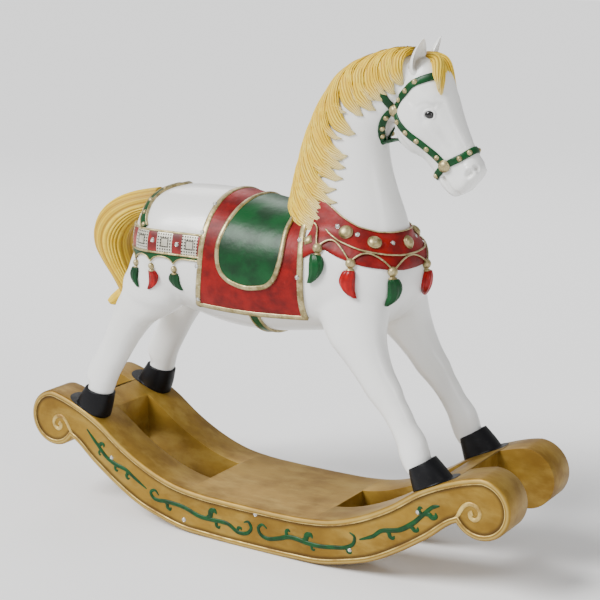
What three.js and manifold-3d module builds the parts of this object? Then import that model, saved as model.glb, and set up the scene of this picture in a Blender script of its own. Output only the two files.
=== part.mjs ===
// A carousel-style rocking horse statue: one painted casting that stands on a scrolled rocker base,
// with small clear lamp lenses set in both. Millimetres, nose toward +X, near side toward -Y, +Z up.
import * as THREE from "three";
import { mergeVertices } from "three/addons/utils/BufferGeometryUtils.js";
import Module from "manifold-3d";

const wasm = await Module();
wasm.setup();

// Driving dimensions of the rocker base
const baseWidth = 174;
const runnerWidth = 49;
const scrollRadius = 38;
const scrollSpan = 640; // between the centres of the two scrolls
const scrollHeight = 119; // of the scroll centres
const deckLow = 57; // top of the deck over the floor, at its lowest
const flatSpot = 60; // length of the flat on the underside, which it stands on
const windowWidth = 66;
const windowStart = 97; // from the middle of the deck to each window
const deckBridge = 31; // deck left between each window and the scrolls
const rimWidth = 6;
const panelDepth = 1.6;
const vineWidth = 4.5;
const vineSway = 5;
const vineHeight = 1.2;

// Driving dimensions of the horse and its trim
const horseHeight = 587; // ear tips over the lowest part of the deck
const hoofInset = 20; // from a side face of the base to the middle of a hoof
const hoofSeat = 0.3; // gap between a hoof and the deck
const clothThickness = 3;
const borderWidth = 7;
const borderThickness = 4.6;
const seatThickness = 6.5;
const strapWidth = 8;
const strapThickness = 2.6;
const crestLocks = 8;
const lockThickness = 9;
const bossRadius = 6;
const wireRadius = 1.3;
const wireRise = 12;
const tasselLength = 32;
const tasselRadius = 7;
const tasselSway = 4; // of its curl

// Lamp lenses
const lensRadius = 3;
const lensLength = 6;
const lensProud = 1.2;
const lensFit = 0.3;

// The horse is a free form: it is drawn 587 mm tall over a deck at 62 and keeps its shares at any height.
const drawnHeight = 587;
const drawnDeck = 62;
const scale = horseHeight / drawnHeight;
const drawn = ([x, z]) => [x * scale, deckLow + (z - drawnDeck) * scale];

// Smooth curves through stations

function smooth(a, b, c, d, f) {
  return b + 0.5 * f * (c - a + f * (2 * a - 5 * b + 4 * c - d + f * (3 * (b - c) + d - a)));
}

// The station at a share t of a list: every number in it lies on a smooth curve through the list.
function between(list, t) {
  const last = list.length - 1;
  const place = Math.min(Math.max(t, 0), 1) * last;
  const i = Math.min(Math.floor(place), last - 1);
  const near = [i - 1, i, i + 1, i + 2].map((j) => list[Math.min(Math.max(j, 0), last)]);
  return near[1].map((_, n) => smooth(...near.map((station) => station[n]), place - i));
}

function steps(count) {
  return Array.from({ length: count }, (_, i) => i / (count - 1));
}

function curve(points, count) {
  return steps(count).map((t) => between(points, t));
}

// Solids

function solidOf(geometry) {
  const bare = geometry.clone();
  bare.deleteAttribute("normal");
  bare.deleteAttribute("uv");
  const merged = mergeVertices(bare, 1e-4);
  const solid = new wasm.Manifold(
    new wasm.Mesh({
      numProp: 3,
      vertProperties: new Float32Array(merged.attributes.position.array),
      triVerts: new Uint32Array(merged.index.array),
    }),
  );
  return solid;
}

function geometryOf(solid) {
  const mesh = solid.getMesh();
  const geometry = new THREE.BufferGeometry();
  geometry.setAttribute("position", new THREE.BufferAttribute(mesh.vertProperties, 3));
  geometry.setIndex(new THREE.BufferAttribute(mesh.triVerts, 1));
  const flat = geometry.toNonIndexed();
  flat.computeVertexNormals();
  return flat;
}

function joined(solids) {
  return solids.reduce((sum, solid) => sum.add(solid));
}

// A closed skin over a row of rings, with a point at the middle of each end ring.
function loft(rings) {
  const sides = rings[0].length;
  const points = rings.flat();
  const middle = (ring) =>
    ring.reduce((sum, p) => sum.add(p), new THREE.Vector3()).divideScalar(sides);
  points.push(middle(rings[0]), middle(rings.at(-1)));
  const faces = [];
  for (let side = 0; side < sides; side++) {
    const next = (side + 1) % sides;
    for (let row = 0; row < rings.length - 1; row++) {
      const low = row * sides;
      const high = low + sides;
      faces.push(low + side, low + next, high + next, low + side, high + next, high + side);
    }
    const top = (rings.length - 1) * sides;
    faces.push(points.length - 2, next, side, points.length - 1, top + side, top + next);
  }
  if (volumeOf(points, faces) < 0) faces.reverse();
  const geometry = new THREE.BufferGeometry().setFromPoints(points);
  geometry.setIndex(faces);
  return solidOf(geometry);
}

function volumeOf(points, faces) {
  let sum = 0;
  for (let i = 0; i < faces.length; i += 3) {
    const [a, b, c] = [points[faces[i]], points[faces[i + 1]], points[faces[i + 2]]];
    sum += a.dot(new THREE.Vector3().crossVectors(b, c));
  }
  return sum;
}

// A plate of a side-view outline, from one side plane to another.
function plate(outline, yFrom, yTo) {
  const shape = new THREE.Shape(outline.map(([x, z]) => new THREE.Vector2(x, z)));
  const geometry = new THREE.ExtrudeGeometry(shape, { depth: yTo - yFrom, bevelEnabled: false });
  geometry.rotateX(Math.PI / 2);
  geometry.translate(0, yTo, 0);
  return solidOf(geometry);
}

// The outline of a band of some width along a line in the side view.
function band(line, width) {
  const left = [];
  const right = [];
  line.forEach(([x, z], i) => {
    const before = line[Math.max(i - 1, 0)];
    const after = line[Math.min(i + 1, line.length - 1)];
    const long = Math.hypot(after[0] - before[0], after[1] - before[1]);
    const across = [(before[1] - after[1]) / long, (after[0] - before[0]) / long];
    const half = (typeof width === "function" ? width(i / (line.length - 1)) : width) / 2;
    left.push([x + across[0] * half, z + across[1] * half]);
    right.push([x - across[0] * half, z - across[1] * half]);
  });
  return left.concat(right.reverse());
}

// An outline moved inward by some distance at every corner.
function inset(outline, distance) {
  const count = outline.length;
  const area = outline.reduce((sum, [x, z], i) => {
    const [nx, nz] = outline[(i + 1) % count];
    return sum + x * nz - nx * z;
  }, 0);
  const turn = Math.sign(area) * distance;
  const away = ([ax, az], [bx, bz]) => {
    const long = Math.hypot(bx - ax, bz - az);
    return [(az - bz) / long, (bx - ax) / long];
  };
  return outline.map((point, i) => {
    const before = away(outline[(i + count - 1) % count], point);
    const after = away(point, outline[(i + 1) % count]);
    const share = 1 + before[0] * after[0] + before[1] * after[1];
    return [0, 1].map((n) => point[n] + (turn * (before[n] + after[n])) / share);
  });
}

// The body: stations are two points of the side view, half the width and the distance from the middle plane

const trunkStations = [
  [-203, 400, -203, 376, 16, 0],
  [-199, 421, -201, 350, 42, 0],
  [-185, 437, -190, 318, 63, 0],
  [-160, 446, -162, 297, 78, 0],
  [-115, 449, -112, 285, 81, 0],
  [-65, 447, -62, 276, 81, 0],
  [-10, 436, -10, 275, 80, 0],
  [45, 434, 45, 282, 79, 0],
  [95, 440, 95, 290, 78, 0],
  [135, 430, 138, 298, 73, 0],
  [160, 418, 166, 314, 63, 0],
  [174, 404, 182, 340, 46, 0],
  [181, 394, 188, 354, 27, 0],
  [184, 384, 188, 368, 10, 0],
];
const neckStations = [
  [30, 410, 172, 360, 58, 0],
  [24, 436, 174, 398, 56, 0],
  [27, 463, 168, 430, 46, 0],
  [35, 496, 155, 466, 39, 0],
  [46, 530, 146, 497, 35, 0],
  [64, 566, 143, 526, 33, 0],
  [90, 600, 155, 547, 31, 0],
  [124, 618, 175, 566, 28, 0],
  [160, 628, 192, 590, 24, 0],
  [186, 628, 205, 603, 17, 0],
];
const headStations = [
  [176, 628, 162, 588, 18, 0],
  [204, 627, 158, 556, 26, 0],
  [223, 611, 163, 530, 30, 0],
  [232, 589, 178, 515, 29, 0],
  [239, 568, 196, 508, 25, 0],
  [247, 548, 208, 496, 21, 0],
  [256, 530, 216, 484, 18.5, 0],
  [266, 514, 225, 474, 18.5, 0],
  [271, 501, 237, 468, 18, 0],
  [267, 488, 250, 471, 10, 0],
];
const hindLegStations = [
  [-186, 396, -124, 398, 33, 36],
  [-203, 352, -112, 338, 34, 43],
  [-216, 314, -130, 296, 28, 52],
  [-226, 286, -168, 272, 23, 57],
  [-237, 258, -190, 247, 19, 60],
  [-251, 232, -206, 222, 16, 62],
  [-267, 206, -221, 197, 15.5, 64],
  [-270, 192, -228, 182, 16, 66],
  [-266, 180, -232, 171, 14.5, 67],
  [-274, 164, -240, 155, 14.5, 67],
];
const frontLegStations = [
  [64, 372, 164, 380, 34, 32],
  [76, 330, 170, 344, 34, 41],
  [90, 306, 172, 320, 29, 49],
  [104, 287, 174, 302, 25, 56],
  [128, 265, 181, 281, 21, 60],
  [146, 246, 190, 261, 18, 62],
  [159, 229, 201, 244, 15.5, 63],
  [176, 213, 209, 227, 13.5, 64],
  [189, 198, 221, 207, 13, 65],
  [201, 179, 235, 190, 14.5, 66],
  [206, 165, 240, 176, 15, 67],
  [213, 150, 245, 163, 14, 67],
  [224, 138, 254, 152, 14, 67],
];
const tailStations = [
  [-196, 440, -196, 405, 13, 0],
  [-238, 431, -222, 396, 19, 0],
  [-270, 418, -236, 385, 24, 0],
  [-291, 400, -245, 372, 27, 0],
  [-301, 379, -248, 358, 29, 0],
  [-300, 357, -245, 344, 29, 0],
  [-288, 337, -238, 326, 28, 0],
  [-273, 317, -224, 304, 26, 0],
  [-262, 297, -210, 286, 23, 0],
  [-252, 278, -198, 271, 17, 0],
  [-235, 264, -204, 262, 8, 0],
];

const squareness = 2.25;

function rounded(value, power) {
  return Math.sign(value) * Math.abs(value) ** (2 / power);
}

// The point of a limb's skin at a station, at a turn about its middle line, lifted off it by some distance.
function skinPoint([ax, az, bx, bz, half, out], turn, lift = 0, side = 1, power = squareness) {
  const reach = Math.hypot(ax - bx, az - bz) / 2;
  const along = (rounded(Math.cos(turn), power) * (reach + lift)) / reach;
  const across = rounded(Math.sin(turn), power) * (half + lift);
  const [x, z] = drawn([(ax + bx + (ax - bx) * along) / 2, (az + bz + (az - bz) * along) / 2]);
  return new THREE.Vector3(x, side * out * scale + across * scale, z);
}

function limb(stations, rings, sides, lift = 0, side = 1) {
  return loft(
    curve(stations, rings).map((station) =>
      Array.from({ length: sides }, (_, i) =>
        skinPoint(station, (2 * Math.PI * i) / sides, lift / scale, side),
      ),
    ),
  );
}

// A hoof flares from its hairline to the ground; it runs on below the deck and is cut to it afterwards.
const hindHoofStations = [
  [-272, 175, -231, 167, 17, 67],
  [-281, 162, -236, 148, 19.5, 67],
  [-290, 147, -242, 132, 20.5, 66.5],
  [-299, 132, -248, 117, 21, 66],
];
const frontHoofStations = [
  [219, 150, 250, 169, 17, 67],
  [223, 136, 262, 158, 19.5, 67],
  [227, 122, 272, 148, 20.5, 66.5],
  [231, 108, 282, 138, 21, 66],
];
const hindFoot = [-265, 144];
const frontFoot = [250, 137];
const drawnHoofOut = 67;

// The rocker base

const halfSpan = scrollSpan / 2;
const scrollTop = scrollHeight + scrollRadius;
const deckEnd = halfSpan - scrollRadius;
const notchTurn = Math.atan2(-0.6, -0.8);
const notchX = halfSpan + scrollRadius * Math.cos(notchTurn);
const notchZ = scrollHeight + scrollRadius * Math.sin(notchTurn);
const topSwing = [0, 0.003, 0.017, 0.073, 0.21, 0.42, 0.695, 0.885, 1].map((share) => [share]);
const bottomSwing = [0, 0.01, 0.03, 0.115, 0.24, 0.45, 0.71, 1].map((share) => [share]);

function deckTop(x) {
  return deckLow + (scrollTop - deckLow) * between(topSwing, Math.abs(x) / halfSpan)[0];
}

function underside(x) {
  const from = flatSpot / 2;
  return notchZ * between(bottomSwing, (Math.abs(x) - from) / (notchX - from))[0];
}

// The side profile of a runner, scroll and all, one way round.
function runnerOutline() {
  const under = steps(8).map((t) => flatSpot / 2 + t * (notchX - flatSpot / 2));
  const over = steps(10).slice(1, -1).map((t) => (1 - t) * halfSpan);
  const arc = steps(13).map((t) => {
    const turn = notchTurn + t * (Math.PI / 2 - notchTurn);
    return [
      halfSpan + scrollRadius * Math.cos(turn),
      scrollHeight + scrollRadius * Math.sin(turn),
    ];
  });
  const right = under.slice(0, -1).map((x) => [x, underside(x)]);
  right.push(...arc, ...over.map((x) => [x, deckTop(x)]));
  const left = right.map(([x, z]) => [-x, z]).reverse();
  return right.concat([[0, deckTop(0)]], left);
}

// The line of the deck, raised by some distance, closed far above or below it.
function deckLine(raised, closeAt) {
  const line = steps(21).map((t) => {
    const x = (2 * t - 1) * (halfSpan + scrollRadius);
    return [x, deckTop(x) + raised];
  });
  return line.concat([
    [halfSpan + scrollRadius, closeAt],
    [-halfSpan - scrollRadius, closeAt],
  ]);
}

function boxAt(xFrom, xTo, yFrom, yTo, zFrom, zTo) {
  const box = new THREE.BoxGeometry(xTo - xFrom, yTo - yFrom, zTo - zFrom);
  box.translate((xFrom + xTo) / 2, (yFrom + yTo) / 2, (zFrom + zTo) / 2);
  return solidOf(box);
}

function spiral(end) {
  const centre = [halfSpan - scrollRadius * 0.28, scrollHeight - scrollRadius * 0.18];
  return steps(8).map((t) => {
    const turn = Math.PI * (1.05 - 2.1 * t);
    const radius = scrollRadius * (0.5 - 0.4 * t);
    return [end * (centre[0] + radius * Math.cos(turn)), centre[1] + radius * Math.sin(turn)];
  });
}

function vineLine(from, to, count) {
  return steps(count).map((t) => {
    const x = from + t * (to - from);
    const middle = (deckTop(x) + underside(x)) / 2;
    return [x, middle + vineSway * Math.sin(3 * Math.PI * t + 1)];
  });
}

// A sprig of vine: a swaying stem that thins to its ends, with hooked leaves to either side.
function sprig(from, to) {
  const stem = vineLine(from, to, 6);
  const outlines = [band(stem, (t) => vineWidth * (0.4 + 0.6 * Math.sin(Math.PI * t)))];
  [2, 4].forEach((at, i) => {
    const [x, z] = stem[at];
    const up = i % 2 ? -1 : 1;
    const lean = Math.sign(to - from) * vineWidth;
    const leaf = [[x - lean / 2, z], [x + lean / 2, z], [x + lean, z + up * vineWidth * 2.1]];
    outlines.push(leaf);
  });
  return outlines;
}

const sprigs = [
  [-0.5, -0.81],
  [-0.475, 0],
  [0.05, 0.48],
  [0.51, 0.83],
];

function rockerBase() {
  const outline = runnerOutline();
  const outer = baseWidth / 2;
  const inner = outer - runnerWidth;
  const far = halfSpan + scrollRadius + 1;
  const windowEnd = deckEnd - deckBridge;
  let base = plate(outline, -outer, outer);
  for (const end of [-1, 1]) {
    const [from, to] = [end * deckEnd, end * far].sort((a, b) => a - b);
    base = base.subtract(boxAt(from, to, -inner, inner, -1, scrollTop + 1));
    const [open, shut] = [end * windowStart, end * windowEnd].sort((a, b) => a - b);
    base = base.subtract(boxAt(open, shut, -windowWidth / 2, windowWidth / 2, -1, scrollTop + 1));
  }
  const panel = inset(outline, rimWidth);
  for (const side of [-1, 1]) {
    const sunk = side * (outer - panelDepth);
    const [from, to] = [sunk, side * (outer + 1)].sort((a, b) => a - b);
    base = base.subtract(plate(panel, from, to));
    const rooted = sunk - side * panelDepth;
    const ridge = [rooted, side * outer].sort((a, b) => a - b);
    const raised = [rooted, sunk + side * vineHeight].sort((a, b) => a - b);
    for (const end of [-1, 1]) {
      base = base.add(plate(band(spiral(end), (t) => rimWidth * (0.7 - 0.3 * t)), ...ridge));
    }
    for (const [from2, to2] of sprigs) {
      const vine = sprig(from2 * halfSpan, to2 * halfSpan).map((each) => plate(each, ...raised));
      base = base.add(joined(vine));
    }
  }
  return base;
}

// The horse

// A leg reaches from the body to the deck under its hoof, wherever the base puts that.
function standing(stations, foot, whole) {
  const drawnZ = foot[1];
  const footX = foot[0] * scale;
  const reach = (deckTop(footX) - deckLow) / scale + drawnDeck - drawnZ;
  const spread = (baseWidth / 2 - hoofInset) / scale - drawnHoofOut;
  const last = stations.length - 1;
  return stations.map(([ax, az, bx, bz, halfWidth, out], i) => {
    const share = whole ? 1 : (i / last) ** 2;
    return [ax, az + reach * share, bx, bz + reach * share, halfWidth, out + spread * share];
  });
}

function trunk(lift) {
  return limb(trunkStations, 12, 12, lift);
}

function trunkAndNeck(lift) {
  return trunk(lift).add(limb(neckStations, 8, 10, lift));
}

function leg(side, stations, foot, rings, lift) {
  return limb(standing(stations, foot), rings, 8, lift, side);
}

function trunkAndLegs(lift) {
  const legs = [-1, 1].flatMap((side) => [
    leg(side, hindLegStations, hindFoot, 8, lift),
    leg(side, frontLegStations, frontFoot, 9, lift),
  ]);
  return joined([trunk(lift), ...legs]);
}

// A closed tapering strand along a path of points, flat against the skin.
function strand(points, normals, width, thickness, sides = 5) {
  const last = points.length - 1;
  const rings = points.map((point, i) => {
    const ahead = points[Math.min(i + 1, last)].clone().sub(points[Math.max(i - 1, 0)]).normalize();
    const across = new THREE.Vector3().crossVectors(ahead, normals[i]).normalize();
    const t = i / last;
    return Array.from({ length: sides }, (_, n) => {
      const turn = (2 * Math.PI * n) / sides;
      return point
        .clone()
        .addScaledVector(across, (width(t) / 2) * Math.cos(turn))
        .addScaledVector(normals[i], (thickness(t) / 2) * Math.sin(turn));
    });
  });
  return loft(rings);
}

// The mane lies over the crest of the neck in locks: rings of it are ridges and grooves in turn, and
// each falls to both sides as it leaves the crest. A ridge is a lock, and ends in its point.
const maneTurns = [0, 0.4, 0.85, 1.3, 1.65];
const maneFall = 0.09; // how far down the neck a lock runs, as a share of the neck, for each radian
const maneRoot = 0.97; // share of the neck where the first lock leaves the crest
const maneShare = 0.83; // share of the neck that the mane covers

function maneRing(along, ridge) {
  const reach = ridge ? 1.15 : 0.9;
  const half = maneTurns.map((turn, i) => {
    const station = between(neckStations, along - maneFall * turn);
    const crown = i === maneTurns.length - 1 ? -0.1 : Math.cos(turn * 0.8);
    const lift = lockThickness * (ridge ? 1 : 0.35) * crown;
    return [-1, 1].map((side) => skinPoint(station, side * turn * reach, lift));
  });
  const station = between(neckStations, along - maneFall);
  const inside = skinPoint(station, 0, -Math.hypot(station[0] - station[2], station[1] - station[3]) / 2);
  const far = half.slice(1).map(([, point]) => point);
  const near = half.slice(1).map(([point]) => point).reverse();
  return [...near, half[0][0], ...far, inside];
}

function mane() {
  const count = 2 * crestLocks + 1;
  return loft(steps(count).map((t, i) => maneRing(maneRoot - maneShare * t, i % 2 === 1)));
}

const forelocks = [
  [[206, 628], [224, 620], [234, 604], [238, 586], 0.1],
  [[203, 629], [218, 624], [226, 610], [225, 592], 0.55],
  [[203, 629], [218, 624], [226, 610], [225, 592], -0.55],
];

function forelock([a, b, c, d, turn]) {
  const points = [a, b, c, d].map((each, i) => {
    const [x, z] = drawn(each);
    return new THREE.Vector3(x, -Math.sin(turn) * 24 * scale * (0.4 + 0.2 * i), z);
  });
  const normals = points.map(() => new THREE.Vector3(0.75, -Math.sin(turn), 0.6).normalize());
  return strand(points, normals, (t) => 17 * scale * (1.05 - 0.9 * t), (t) => 10 * scale * (1.05 - t * 0.8));
}

function ear(side) {
  const rings = [
    [190, 610, 209, 612, 6, 15],
    [190, 622, 212, 625, 6.5, 18],
    [194, 635, 211, 637, 5, 21],
    [200, 649, 204, 649, 1, 22],
  ];
  return limb(rings, 5, 8, 0, side);
}

function tailFlick() {
  return limb(
    [
      [-262, 300, -250, 284, 8, 6],
      [-274, 290, -262, 277, 7, 12],
      [-285, 283, -279, 272, 5, 16],
      [-292, 277, -289, 273, 2, 18],
    ],
    5,
    6,
    0,
    -1,
  );
}

// Outlines of the trim in the side view, as drawn; each wraps over the body from side to side.
const clothOutline = [
  [-70, 470],
  [-70, 440],
  [-73, 396],
  [-77, 350],
  [-88, 309],
  [-8, 306],
  [74, 306],
  [74, 387],
  [57, 435],
  [38, 470],
];
const seatOutline = [
  [-27, 470],
  [-35, 437],
  [-43, 412],
  [-48, 388],
  [-44, 364],
  [-30, 350],
  [-2, 344],
  [24, 347],
  [40, 362],
  [45, 388],
  [41, 420],
  [36, 470],
];
const girthLine = [
  [-2, 312],
  [-2, 265],
];
const rumpBandOutline = [
  [-240, 372],
  [-78, 371],
  [-76, 400],
  [-240, 403],
];
const crupperLine = [
  [-158, 470],
  [-166, 440],
  [-186, 415],
  [-204, 395],
];
const collarOutline = [
  [60, 404],
  [100, 401],
  [128, 394],
  [152, 386],
  [180, 378],
  [205, 376],
  [205, 422],
  [177, 421],
  [150, 427],
  [121, 439],
  [100, 447],
  [60, 452],
];

const atDrawn = (outline) => outline.map(drawn);

// A layer of trim: the body grown by its thickness, kept inside an outline.
function layer(lift, outline, grown = trunk) {
  return grown(lift).intersect(plate(outline, -baseWidth, baseWidth));
}

// The saddle-cloth, with its raised border.
function saddleCloth(outline) {
  const whole = plate(outline, -baseWidth, baseWidth);
  const field = plate(inset(outline, borderWidth), -baseWidth - 1, baseWidth + 1);
  const edge = trunk(borderThickness).intersect(whole.subtract(field));
  return layer(clothThickness, outline).add(edge);
}

const bridleLines = [
  [[240, 606], [222, 597], [198, 582], [180, 564]],
  [[180, 564], [206, 536], [233, 504]],
  [[229, 499], [250, 516], [276, 525]],
  [[181, 566], [171, 545], [174, 524], [190, 508]],
];

function bridle() {
  const straps = bridleLines.map((line) =>
    plate(band(atDrawn(line), strapWidth), -baseWidth, baseWidth),
  );
  const around = limb(headStations, 9, 10, strapThickness).add(
    limb(neckStations, 8, 10, strapThickness),
  );
  return joined(straps).intersect(around);
}

// Places on the skin

const rays = new THREE.Raycaster();
const rayReach = scrollSpan; // well outside the horse
const drawnChest = 95; // where the middle of the chest's curve lies
const nudge = new THREE.Vector3(0.011, 0.017, 0.013); // keeps a ray off the edges of the skin's faces

// Where a ray from outside first meets the skin, and the way the skin faces there.
function onSkin(mesh, from, toward) {
  rays.set(from.clone().add(nudge), toward.clone().sub(from).normalize());
  const hit = rays.intersectObject(mesh)[0];
  return hit && { at: hit.point, out: hit.face.normal.clone() };
}

function fromSide(mesh, place, side) {
  const [x, z] = drawn(place);
  return onSkin(mesh, new THREE.Vector3(x, side * rayReach, z), new THREE.Vector3(x, 0, z));
}

// A place on the chest, at a turn from straight ahead toward a side.
function fromChest(mesh, turn, z) {
  const [x, height] = drawn([drawnChest, z]);
  const axis = new THREE.Vector3(x, 0, height);
  const away = new THREE.Vector3(Math.cos(turn), Math.sin(turn), 0);
  return onSkin(mesh, axis.clone().addScaledVector(away, rayReach), axis);
}

// A turned shape on the skin: its profile runs from under the surface to its crown.
function turned(profile, sides, { at, out }) {
  const points = profile.map(([radius, height]) => new THREE.Vector2(radius, height));
  const geometry = new THREE.LatheGeometry(points, sides);
  geometry.applyQuaternion(new THREE.Quaternion().setFromUnitVectors(new THREE.Vector3(0, 1, 0), out));
  geometry.translate(at.x, at.y, at.z);
  return solidOf(geometry);
}

function boss(place) {
  const profile = [
    [0, -bossRadius * 0.5],
    [bossRadius, 0],
    [bossRadius * 0.7, bossRadius * 0.6],
    [0, bossRadius * 0.9],
  ];
  return turned(profile, 6, place);
}

// A tassel: a knob on the skin, a neck below it and a tuft that swells and curls to its tip.
function tassel(place) {
  const widths = [bossRadius * 0.9, tasselRadius * 0.43, tasselRadius, tasselRadius * 0.36];
  const drops = [0, 0.26, 0.62, 1];
  const rings = widths.map((width, row) =>
    Array.from({ length: 4 }, (_, n) => {
      const turn = (2 * Math.PI * n) / 4;
      const ring = new THREE.Vector3(
        width * Math.cos(turn) - tasselSway * Math.sin(Math.PI * drops[row]),
        width * Math.sin(turn) * 0.7,
        bossRadius * 0.5 - tasselLength * drops[row],
      );
      return ring.add(place.at).addScaledVector(place.out, bossRadius * 0.25);
    }),
  );
  return loft(rings);
}

// A length of wire over the collar, from one tassel up and down to the next.
function wire(mesh, turnFrom, turnTo) {
  const places = steps(3).map((t) => {
    const turn = turnFrom + (turnTo - turnFrom) * t;
    return fromChest(mesh, turn, tasselHeight(turn) + wireRise * Math.sin(Math.PI * t));
  });
  const points = places.map(({ at }) => at);
  const outs = places.map(({ out }) => out);
  return strand(points, outs, () => wireRadius * 2, () => wireRadius * 2, 3);
}

function lensHole(place) {
  const radius = lensRadius + lensFit;
  const depth = lensLength - lensProud + lensFit;
  const profile = [
    [0, -depth],
    [radius, -depth],
    [radius, lensRadius * 2],
    [0, lensRadius * 2],
  ];
  return turned(profile, 5, place);
}

function lens(place) {
  const profile = [
    [0, lensProud - lensLength],
    [lensRadius, lensProud - lensLength],
    [lensRadius, lensProud - lensRadius * 0.4],
    [0, lensProud],
  ];
  return turned(profile, 5, place);
}

// Where the trim's small pieces sit, as drawn
const bossTurns = [0, 0.64, -0.64, 1.09, -1.09];
const chestLampTurns = [0.36, -0.36, 0.9, -0.9, 1.31, -1.31];
const tasselTurns = [-1.62, -1.02, -0.31, 0.31, 1.02, 1.62];
const rumpTassels = [
  [-184, 354],
  [-150, 353],
  [-114, 351],
];
const rumpLamps = [
  [-108, 386],
  [-146, 387],
];
const clothLamps = [
  [-71, 432],
  [-72, 404],
  [-76, 362],
  [-81, 318],
  [52, 437],
  [66, 408],
  [70, 366],
];
const bridleBosses = [
  [181, 565],
  [232, 502],
];

// Heights on the collar, as drawn: each row rises from the middle of the chest to the sides.
const tasselHeight = (turn) => 380 + 12 * Math.abs(turn) ** 1.6;
const bossHeight = (turn) => 407 + 11 * turn ** 2;

function horse() {
  const parts = [
    trunkAndLegs(0),
    limb(neckStations, 8, 10),
    limb(headStations, 9, 10),
    limb(tailStations, 9, 10),
    tailFlick(),
    mane(),
    ...forelocks.map(forelock),
    saddleCloth(atDrawn(clothOutline)),
    layer(seatThickness, atDrawn(seatOutline)),
    layer(strapThickness, band(atDrawn(girthLine), strapWidth * 1.6)),
    layer(strapThickness, atDrawn(rumpBandOutline), trunkAndLegs),
    layer(strapThickness, band(atDrawn(crupperLine), strapWidth * 1.4)),
    layer(clothThickness, atDrawn(collarOutline), trunkAndNeck),
    bridle(),
  ];
  for (const side of [-1, 1]) {
    parts.push(ear(side));
    parts.push(limb(standing(hindHoofStations, hindFoot, true), 3, 9, 0, side));
    parts.push(limb(standing(frontHoofStations, frontFoot, true), 3, 9, 0, side));
  }
  const seat = plate(deckLine(hoofSeat, -deckLow), -baseWidth, baseWidth);
  const body = joined(parts).subtract(seat);
  const skin = new THREE.Mesh(geometryOf(body), new THREE.MeshBasicMaterial());
  const ends = tasselTurns.map((turn) => fromChest(skin, turn, tasselHeight(turn)));
  const trim = [
    ...bossTurns.map((turn) => boss(fromChest(skin, turn, bossHeight(turn)))),
    ...ends.map(tassel),
    ...tasselTurns.slice(1).map((turn, i) => wire(skin, tasselTurns[i], turn)),
  ];
  for (const side of [-1, 1]) {
    trim.push(...rumpTassels.map((place) => tassel(fromSide(skin, place, side))));
    trim.push(...bridleBosses.map((place) => boss(fromSide(skin, place, side))));
  }
  const lamps = chestLampTurns.map((turn) => fromChest(skin, turn, bossHeight(turn)));
  for (const side of [-1, 1]) {
    lamps.push(...clothLamps.concat(rumpLamps).map((place) => fromSide(skin, place, side)));
  }
  const whole = joined([body, ...trim]);
  return [lamps.reduce((sum, place) => sum.subtract(lensHole(place)), whole), lamps];
}

const baseLampShares = [
  [-0.69, 0.5],
  [-0.32, 0.25],
  [0.03, 0.85],
  [0.46, 0.3],
  [0.75, 0.6],
];

function baseLamps() {
  return [-1, 1].flatMap((side) =>
    baseLampShares.map(([share, up]) => {
      const x = share * halfSpan;
      const z = underside(x) + up * (deckTop(x) - underside(x));
      const out = new THREE.Vector3(0, side, 0);
      return { at: new THREE.Vector3(x, side * (baseWidth / 2 - panelDepth), z), out };
    }),
  );
}

// The whole object

const porcelain = { color: 0xf2efe8, roughness: 0.32, metalness: 0 };
const antiqueGold = { color: 0x9c7429, roughness: 0.45, metalness: 0.35 };
const clearLens = { color: 0xf6f4ea, roughness: 0.12, metalness: 0 };

function named(name, solid, look) {
  const mesh = new THREE.Mesh(geometryOf(solid), new THREE.MeshStandardMaterial(look));
  mesh.name = name;
  return mesh;
}

const statue = new THREE.Group();
const [horseSolid, horseLamps] = horse();
const baseLampPlaces = baseLamps();
const baseSolid = baseLampPlaces.reduce((sum, place) => sum.subtract(lensHole(place)), rockerBase());
statue.add(named("horse", horseSolid, porcelain));
statue.add(named("rocker_base", baseSolid, antiqueGold));
horseLamps.forEach((place, i) => statue.add(named(`horse_lamp_${i + 1}`, lens(place), clearLens)));
baseLampPlaces.forEach((place, i) => statue.add(named(`base_lamp_${i + 1}`, lens(place), clearLens)));

export default statue;
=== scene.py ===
# A light-up rocking horse statue: a painted resin horse in carousel harness, cast on a scrolled rocker base,
# with small clear lamp lenses set in both. Metres, nose toward +X, near side toward -Y, +Z up.
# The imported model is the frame; every painted form is modelled again here at full finish.
import math

import bmesh
import bpy
import numpy as np
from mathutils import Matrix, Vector
from mathutils.bvhtree import BVHTree


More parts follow.
